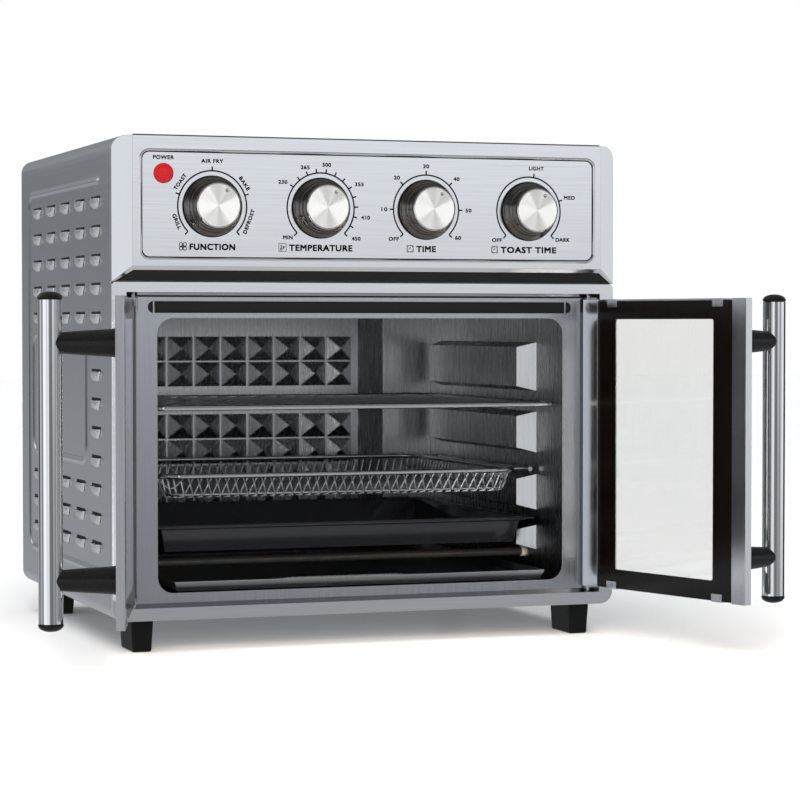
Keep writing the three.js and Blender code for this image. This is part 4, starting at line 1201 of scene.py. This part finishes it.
def rim_tree():
    tree, size = new_tree("wire_rim", Width="Float", Depth="Float", Corner="Float", Radius="Float")
    path = add(tree, "GeometryNodeCurvePrimitiveQuadrilateral", {"Width": size["Width"], "Height": size["Depth"]})
    bent = add(tree, "GeometryNodeFilletCurve", {"Curve": path.outputs[0], "Count": 8, "Radius": size["Corner"],
                                                 "Limit Radius": True}, mode="POLY")
    section = add(tree, "GeometryNodeCurvePrimitiveCircle", {"Resolution": 14, "Radius": size["Radius"]})
    wire = add(tree, "GeometryNodeCurveToMesh", {"Curve": bent.outputs[0], "Profile Curve": section.outputs[0]})
    return end_tree(tree, wire.outputs[0], size["Finish"])


def wires_tree():
    tree, size = new_tree("straight_wires", First="Vector", Length="Vector", Step="Vector", Count="Int",
                          Radius="Float")
    places = add(tree, "GeometryNodeMeshLine", {"Count": size["Count"], "Start Location": size["First"],
                                                "Offset": size["Step"]})
    line = add(tree, "GeometryNodeCurvePrimitiveLine", {"End": size["Length"]})
    section = add(tree, "GeometryNodeCurvePrimitiveCircle", {"Resolution": 10, "Radius": size["Radius"]})
    wire = add(tree, "GeometryNodeCurveToMesh", {"Curve": line.outputs[0], "Profile Curve": section.outputs[0],
                                                 "Fill Caps": True})
    copies = add(tree, "GeometryNodeInstanceOnPoints", {"Points": places.outputs[0], "Instance": wire.outputs[0]})
    return end_tree(tree, copies.outputs[0], size["Finish"])


RIM, WIRES = rim_tree(), wires_tree()


def rim(middle, width, depth, corner, radius, finish=None):
    mesh = grown(RIM, Width=width, Depth=depth, Corner=corner, Radius=radius, Finish=finish or wire_chrome)
    mesh.transform(Matrix.Translation(middle))
    return mesh


def wires(first, length, step, count, radius, finish=None):
    return grown(WIRES, First=tuple(first), Length=tuple(length), Step=tuple(step), Count=count, Radius=radius,
                 Finish=finish or wire_chrome)


def make_shelf():
    low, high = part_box("wire_rack")
    middle, span = (low + high) / 2, high - low
    thick, thin = 2.0 * MM, 0.95 * MM
    count = 17
    pitch = (span.x - 4 * thick) / (count + 1)
    first = Vector((low.x + 2 * thick + pitch, low.y + thick, middle.z + thin * 0.4))
    parts = [rim(middle, span.x - 2 * thick, span.y - 2 * thick, 7 * MM, thick),
             wires(first, (0, span.y - 2 * thick, 0), (pitch, 0, 0), count, thin)]
    for share in (0.33, 0.67):
        start = (low.x + thick, low.y + span.y * share, middle.z - thin - 0.3 * MM)
        parts.append(wires(start, (span.x - 2 * thick, 0, 0), (0, 0, 0), 1, 1.5 * MM))
    made_piece("wire_shelf", gathered(parts, "wire_shelf"), wire_chrome, stands_for="wire_rack",
               smooth=60, weighted=False)


make_shelf()

# %% [markdown]
# ## The mesh basket
# The basket is woven wire pressed into a shallow tray. The weave is a square grid turned by
# 45 degrees. Each strand is cut into short steps, and every point is then dropped by how far
# it lies inside a rounded rectangle: fast near the edge, which makes the wall, and not at all
# further in, which makes the floor. Points beyond the edge are pulled back to it, under the
# rim.

# %% Basket


def weave_tree():
    tree, size = new_tree("pressed_weave", Half="Vector", Corner="Float", Pitch="Float", Wall="Float",
                          Deep="Float", Strand="Float")
    half = add(tree, "ShaderNodeSeparateXYZ", {"Vector": size["Half"]})
    across = do(tree, "MULTIPLY", do(tree, "ADD", half.outputs["X"], half.outputs["Y"]), 1.5)
    count = do(tree, "DIVIDE", across, size["Pitch"])
    grid = add(tree, "GeometryNodeMeshGrid", {"Size X": across, "Size Y": across, "Vertices X": count,
                                              "Vertices Y": count})
    turned_grid = add(tree, "GeometryNodeTransform", {"Geometry": grid.outputs[0], "Rotation": (0, 0, pi / 4)})

    def inside(position):
        """How far a point is from the rounded rectangle's straight parts, and its signed distance."""
        flat = add(tree, "ShaderNodeVectorMath", {0: position, 1: (1, 1, 0)}, operation="MULTIPLY").outputs[0]
        size_of = add(tree, "ShaderNodeVectorMath", {0: flat}, operation="ABSOLUTE").outputs[0]
        corner = add(tree, "ShaderNodeCombineXYZ", {"X": size["Corner"], "Y": size["Corner"]}).outputs[0]
        core = add(tree, "ShaderNodeVectorMath", {0: size["Half"], 1: corner}, operation="SUBTRACT").outputs[0]
        beyond = add(tree, "ShaderNodeVectorMath", {0: size_of, 1: core}, operation="SUBTRACT").outputs[0]
        outside = add(tree, "ShaderNodeVectorMath", {0: beyond, 1: (0, 0, 0)}, operation="MAXIMUM").outputs[0]
        reach = add(tree, "ShaderNodeVectorMath", {0: outside}, operation="LENGTH").outputs["Value"]
        parts = add(tree, "ShaderNodeSeparateXYZ", {"Vector": beyond})
        within = do(tree, "MINIMUM", do(tree, "MAXIMUM", parts.outputs["X"], parts.outputs["Y"]), 0.0)
        distance = do(tree, "SUBTRACT", do(tree, "ADD", reach, within), size["Corner"])
        return flat, size_of, core, outside, reach, distance

    place = add(tree, "GeometryNodeInputPosition").outputs[0]
    distance = inside(place)[-1]
    far = add(tree, "FunctionNodeCompare", {0: distance, 1: size["Pitch"]}, operation="GREATER_THAN")
    trimmed = add(tree, "GeometryNodeDeleteGeometry", {"Geometry": turned_grid.outputs[0],
                                                       "Selection": far.outputs[0]}, domain="POINT")
    strands = add(tree, "GeometryNodeMeshToCurve", {"Mesh": trimmed.outputs[0]})
    stepped = add(tree, "GeometryNodeResampleCurve", {"Curve": strands.outputs[0], "Count": 4})
    flat, size_of, core, outside, reach, distance = inside(place)
    shrink = do(tree, "MINIMUM", do(tree, "DIVIDE", size["Corner"], do(tree, "MAXIMUM", reach, 1e-6)), 1.0)
    pulled = add(tree, "ShaderNodeVectorMath", {0: outside, "Scale": shrink}, operation="SCALE").outputs[0]
    kept = add(tree, "ShaderNodeVectorMath", {0: size_of, 1: core}, operation="MINIMUM").outputs[0]
    sized = add(tree, "ShaderNodeVectorMath", {0: kept, 1: pulled}, operation="ADD").outputs[0]
    signs = add(tree, "ShaderNodeVectorMath", {0: flat}, operation="SIGN").outputs[0]
    spread = add(tree, "ShaderNodeVectorMath", {0: sized, 1: signs}, operation="MULTIPLY").outputs[0]
    inward = do(tree, "DIVIDE", do(tree, "MULTIPLY", distance, -1.0), size["Wall"])
    drop = add(tree, "ShaderNodeMapRange", {"Value": inward, "From Min": 0.0, "From Max": 1.0, "To Min": 0.0,
                                            "To Max": do(tree, "MULTIPLY", size["Deep"], -1.0)},
               interpolation_type="SMOOTHSTEP")
    lowered = add(tree, "ShaderNodeCombineXYZ", {"Z": drop.outputs["Result"]}).outputs[0]
    final = add(tree, "ShaderNodeVectorMath", {0: spread, 1: lowered}, operation="ADD").outputs[0]
    pressed = add(tree, "GeometryNodeSetPosition", {"Geometry": stepped.outputs[0], "Position": final})
    section = add(tree, "GeometryNodeCurvePrimitiveCircle", {"Resolution": 3, "Radius": size["Strand"]})
    wire = add(tree, "GeometryNodeCurveToMesh", {"Curve": pressed.outputs[0], "Profile Curve": section.outputs[0]})
    return end_tree(tree, wire.outputs[0], size["Finish"])


def make_basket():
    low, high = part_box("fry_basket")
    middle, span = (low + high) / 2, high - low
    wing = 14 * MM
    half = (span.x / 2 - wing, span.y / 2 - 3 * MM, 0)
    rim_radius = 1.9 * MM
    top = Vector((middle.x, middle.y, high.z - rim_radius))
    weave = grown(weave_tree(), Half=half, Corner=22 * MM, Pitch=5.0 * MM, Wall=9 * MM,
                  Deep=span.z - 2 * rim_radius, Strand=0.55 * MM, Finish=wire_chrome)
    weave.transform(Matrix.Translation(top))
    parts = [weave, rim(top, 2 * half[0], 2 * half[1], 22 * MM, rim_radius),
             rim(top - Vector((0, 0, span.z - 3 * rim_radius)), 2 * half[0] - 17 * MM, 2 * half[1] - 17 * MM,
                 16 * MM, 1.2 * MM)]
    for way in (-1, 1):
        edge = way * (span.x / 2 - rim_radius)
        parts.append(wires((edge, low.y + 12 * MM, top.z), (0, span.y - 24 * MM, 0), (0, 0, 0), 1, rim_radius))
        start = (way * half[0], low.y + 24 * MM, top.z)
        parts.append(wires(start, (edge - way * half[0], 0, 0), (0, (span.y - 48 * MM) / 3, 0), 4, 1.4 * MM))
    mesh = gathered(parts, "mesh_basket")
    print("basket:", len(mesh.polygons), "faces")
    made_piece("mesh_basket", mesh, wire_chrome, stands_for="fry_basket", smooth=60, weighted=False)


make_basket()

# %% [markdown]
# ## Pressed trays
# The baking tray is drawn from one sheet and enamelled, with its edge rolled over a wire. The
# crumb tray slides under everything and has a raised oval to pull it by.

# %% Trays
softened("baking_tray", "enamelled_tray", tray_enamel, 2.2 * MM, 4)
softened("crumb_tray", "crumb_sheet", floor_steel, 0.9 * MM, 3)
tray_low, tray_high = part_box("baking_tray")
tray_middle = (tray_low + tray_high) / 2
tray_rim = rim((0, tray_middle.y, tray_high.z - 0.4 * MM), 300 * MM, tray_high.y - tray_low.y - 4 * MM, 12 * MM,
               1.7 * MM, tray_enamel)
made_piece("enamelled_tray_rim", tray_rim, tray_enamel, "tray", smooth=60, weighted=False)
crumb_low, crumb_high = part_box("crumb_tray")
pull = rim((0, crumb_low.y + 34 * MM, crumb_low.z + 1.2 * MM), 120 * MM, 46 * MM, 22.9 * MM, 1.5 * MM, liner_steel)
made_piece("crumb_pull", pull, liner_steel, "crumb_drawer", smooth=60, weighted=False)

# %% [markdown]
# ## Heating rods
# Each rod is a metal tube with a coil sealed inside, held in a white ceramic bush at each end.

# %% Heating rods
RODS = ["heater_top_front", "heater_top_rear", "heater_bottom_front", "heater_bottom_rear"]
for node in RODS:
    low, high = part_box(node)
    reach = (high.x - low.x) / MM
    bush = 13
    outline = [(0, 0), (2.2, 0), (2.2, 3), (4.0, 3.2), (4.0, bush), (3.3, bush + 0.2), (3.3, reach - bush - 0.2),
               (4.0, reach - bush), (4.0, reach - 3.2), (2.2, reach - 3), (2.2, reach), (0, reach)]
    parts = [2, 2, 1, 1, 1, 0, 1, 1, 1, 2, 2]
    rod = pointed(turned_mesh(node, outline, 28, parts), (low.x, (low.y + high.y) / 2, (low.z + high.z) / 2), (1, 0, 0))
    made_piece(f"{node}_rod", rod, [rod_sheath, rod_ceramic, zinc_plate], stands_for=node)

# %% [markdown]
# ## Small lines of the front
# A half-round bead is pressed round the field that holds the dials. It is a round wire shape
# sunk to its middle, so it draws a dark line and a light one, as a pressed bead does. A thin
# black wire inside it is painted shade for its groove. A narrow lip closes the shaded strip at
# its lower edge, and black pads in the mouth's upper corners are painted shade for the hinge
# wells. A grey strip along the panel's top is a painted dark reflection.

# %% Bead, lip and pads


def upright(mesh, middle):
    mesh.transform(Matrix.Translation(middle) @ Matrix.Rotation(radians(90), 4, "X"))
    return mesh


FIELD = (357 * MM, 78.9 * MM, 7 * MM)
field_middle = (0, dial_face - 0.1 * MM, panel_high.z - 49.65 * MM)
bead = upright(rim((0, 0, 0), *FIELD, 1.15 * MM, panel_steel), field_middle)
made_piece("field_bead", bead, panel_steel, "oven_body", smooth=60, weighted=False)
# A thin black wire just inside the bead is painted shade for the bead's groove.
INNER_FIELD = (FIELD[0] - 2.6 * MM, FIELD[1] - 2.6 * MM, FIELD[2] - 1.3 * MM)
groove = upright(rim((0, 0, 0), *INNER_FIELD, 0.42 * MM, black_nylon_and_shade), field_middle)
made_piece("field_groove", groove, black_nylon_and_shade, "oven_body", smooth=60, weighted=False)


def slab(name, x, y, z, finish, body="oven_body", rounding=0.3 * MM):
    """A thin bar with rounded edges between two places in each direction."""
    work = bmesh.new()
    bmesh.ops.create_cube(work, size=1)
    bmesh.ops.transform(work, matrix=Matrix.Diagonal((x[1] - x[0], y[1] - y[0], z[1] - z[0], 1)), verts=work.verts)
    soften(work, rounding, 3)
    mesh = from_bmesh(work, name)
    mesh.transform(Matrix.Translation([(a + b) / 2 for a, b in (x, y, z)]))
    return made_piece(name, mesh, finish, body)


# A grey strip along the panel's top is a painted dark reflection of its top bend.
slab("panel_hem", (-FACE_SIDE, FACE_SIDE), (panel_low.y + 0.9 * MM, panel_low.y + 3.4 * MM),
     (panel_high.z - 1.2 * MM, panel_high.z + 0.9 * MM), edge_reflection_steel)
# The recess ends 7.3 mm under the frame's top; a black strip lies along it.
recess_top = ring_high.z - 7.3 * MM
slab("recess_seal", (-184 * MM, 184 * MM), (plate_low.y - 1.1 * MM, plate_low.y - 0.02 * MM),
     (recess_top - 3.4 * MM, recess_top - 0.1 * MM), black_nylon_and_shade)
# The strip is held by a folded steel lip, with a bright tab near each end.
strip_low, strip_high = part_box("vent_strip")
lip = upright(rim((0, 0, 0), strip_high.x - strip_low.x + 1.6 * MM, strip_high.z - strip_low.z + 1.6 * MM, 0.8 * MM,
                  0.8 * MM, door_steel),
              ((strip_low.x + strip_high.x) / 2, plate_low.y - 0.3 * MM, (strip_low.z + strip_high.z) / 2))
made_piece("strip_lip", lip, door_steel, "oven_body", smooth=60, weighted=False)
for side, end in (("left", strip_low.x + 11 * MM), ("right", strip_high.x - 11 * MM)):
    slab(f"{side}_strip_tab", (end - 3.2 * MM, end + 3.2 * MM), (plate_low.y - 1.6 * MM, plate_low.y - 0.1 * MM),
         (strip_low.z + 0.6 * MM, strip_high.z - 0.6 * MM), bar_chrome)
    # A black block in each of the mouth's upper corners is painted shade for the deep, unlit hinge well.
    inwards = 1 if side == "left" else -1
    corner = inwards * -184 * MM
    slab(f"{side}_hinge_cover", sorted((corner, corner + inwards * 8 * MM)),
         (plate_low.y - 1.1 * MM, plate_low.y - 0.05 * MM),
         (recess_top - 14 * MM, recess_top - 3.7 * MM), black_nylon_and_shade)
print("strip lip", round((strip_high.x - strip_low.x) / MM, 1), "mm long")
print("field bead sits at", round(field_middle[2] / MM, 1), "mm; panel from", round(panel_low.z / MM, 1),
      "to", round(panel_high.z / MM, 1))

# %% [markdown]
# ## The dark slot over the mouth
# The long slot in the plate lets room air in over the cavity. Behind it stands a black sheet of
# painted shade, so one looks into darkness.

# %% Painted shade behind the slot
duct = plate_with_window("duct", (-172, 172, 246, 260), None, (plate_high.y / MM + 1.2, plate_high.y / MM + 4), 0, 0.5)
made_piece("slot_duct", duct, painted_black_shade, "oven_body", weighted=False)

# %% [markdown]
# ## The back
# The rear cover is screwed on all round and has rows of vents.

# %% Screws and vents


def screw_mesh():
    """A plain pan head."""
    head = turned_mesh("screw", [(0, 0), (3.4, 0), (3.4, 0.9), (3.0, 1.6), (2.0, 2.0), (0, 2.1)], 16)
    work = bmesh.new()
    work.from_mesh(head)
    return from_bmesh(work, "screw")


back_low, back_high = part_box("back_panel")
back_face = back_low.y + 1.0 * MM
to_back = Matrix.Rotation(radians(-90), 4, "X")
screw = screw_mesh()
screw.transform(to_back)
inset = 9 * MM
span_x, span_z = back_high.x - back_low.x - 2 * inset, back_high.z - back_low.z - 2 * inset
first = (back_low.x + inset, back_face, back_low.z + inset)
screws = [rows_of(screw, first, (span_x, 0, 0), (0, 0, span_z / 3), 2, 4, zinc_plate),
          rows_of(screw, (first[0] + span_x / 3, back_face, first[2]), (span_x / 3, 0, 0), (0, 0, span_z), 2, 2,
                  zinc_plate)]
made_piece("rear_cover_screws", gathered(screws, "screws"), zinc_plate, "oven_body", smooth=50)
turned_scoop = scoop_mesh(30 * MM, 6.5 * MM, 2.2 * MM)
turned_scoop.transform(Matrix.Rotation(pi, 4, "Z"))
turned_slit = slit_mesh(30 * MM)
turned_slit.transform(Matrix.Rotation(pi, 4, "Z"))
# The rear slits are also black blocks of painted shade.
for name, mesh, finish, slot in (("rear_louvres", turned_scoop, casing_steel, "casing_steel"),
                                 ("rear_louvre_slits", turned_slit, painted_black_shade, "black_plastic")):
    vents = [rows_of(mesh, (-60 * MM, back_high.y, 250 * MM), (40 * MM, 0, 0), (0, 0, -18 * MM), 4, 4, finish),
             rows_of(mesh, (-140 * MM, back_face, 350 * MM), (40 * MM, 0, 0), (0, 0, -18 * MM), 8, 2, finish)]
    made_piece(name, gathered(vents, name), finish, "oven_body", smooth=60, weighted=False)
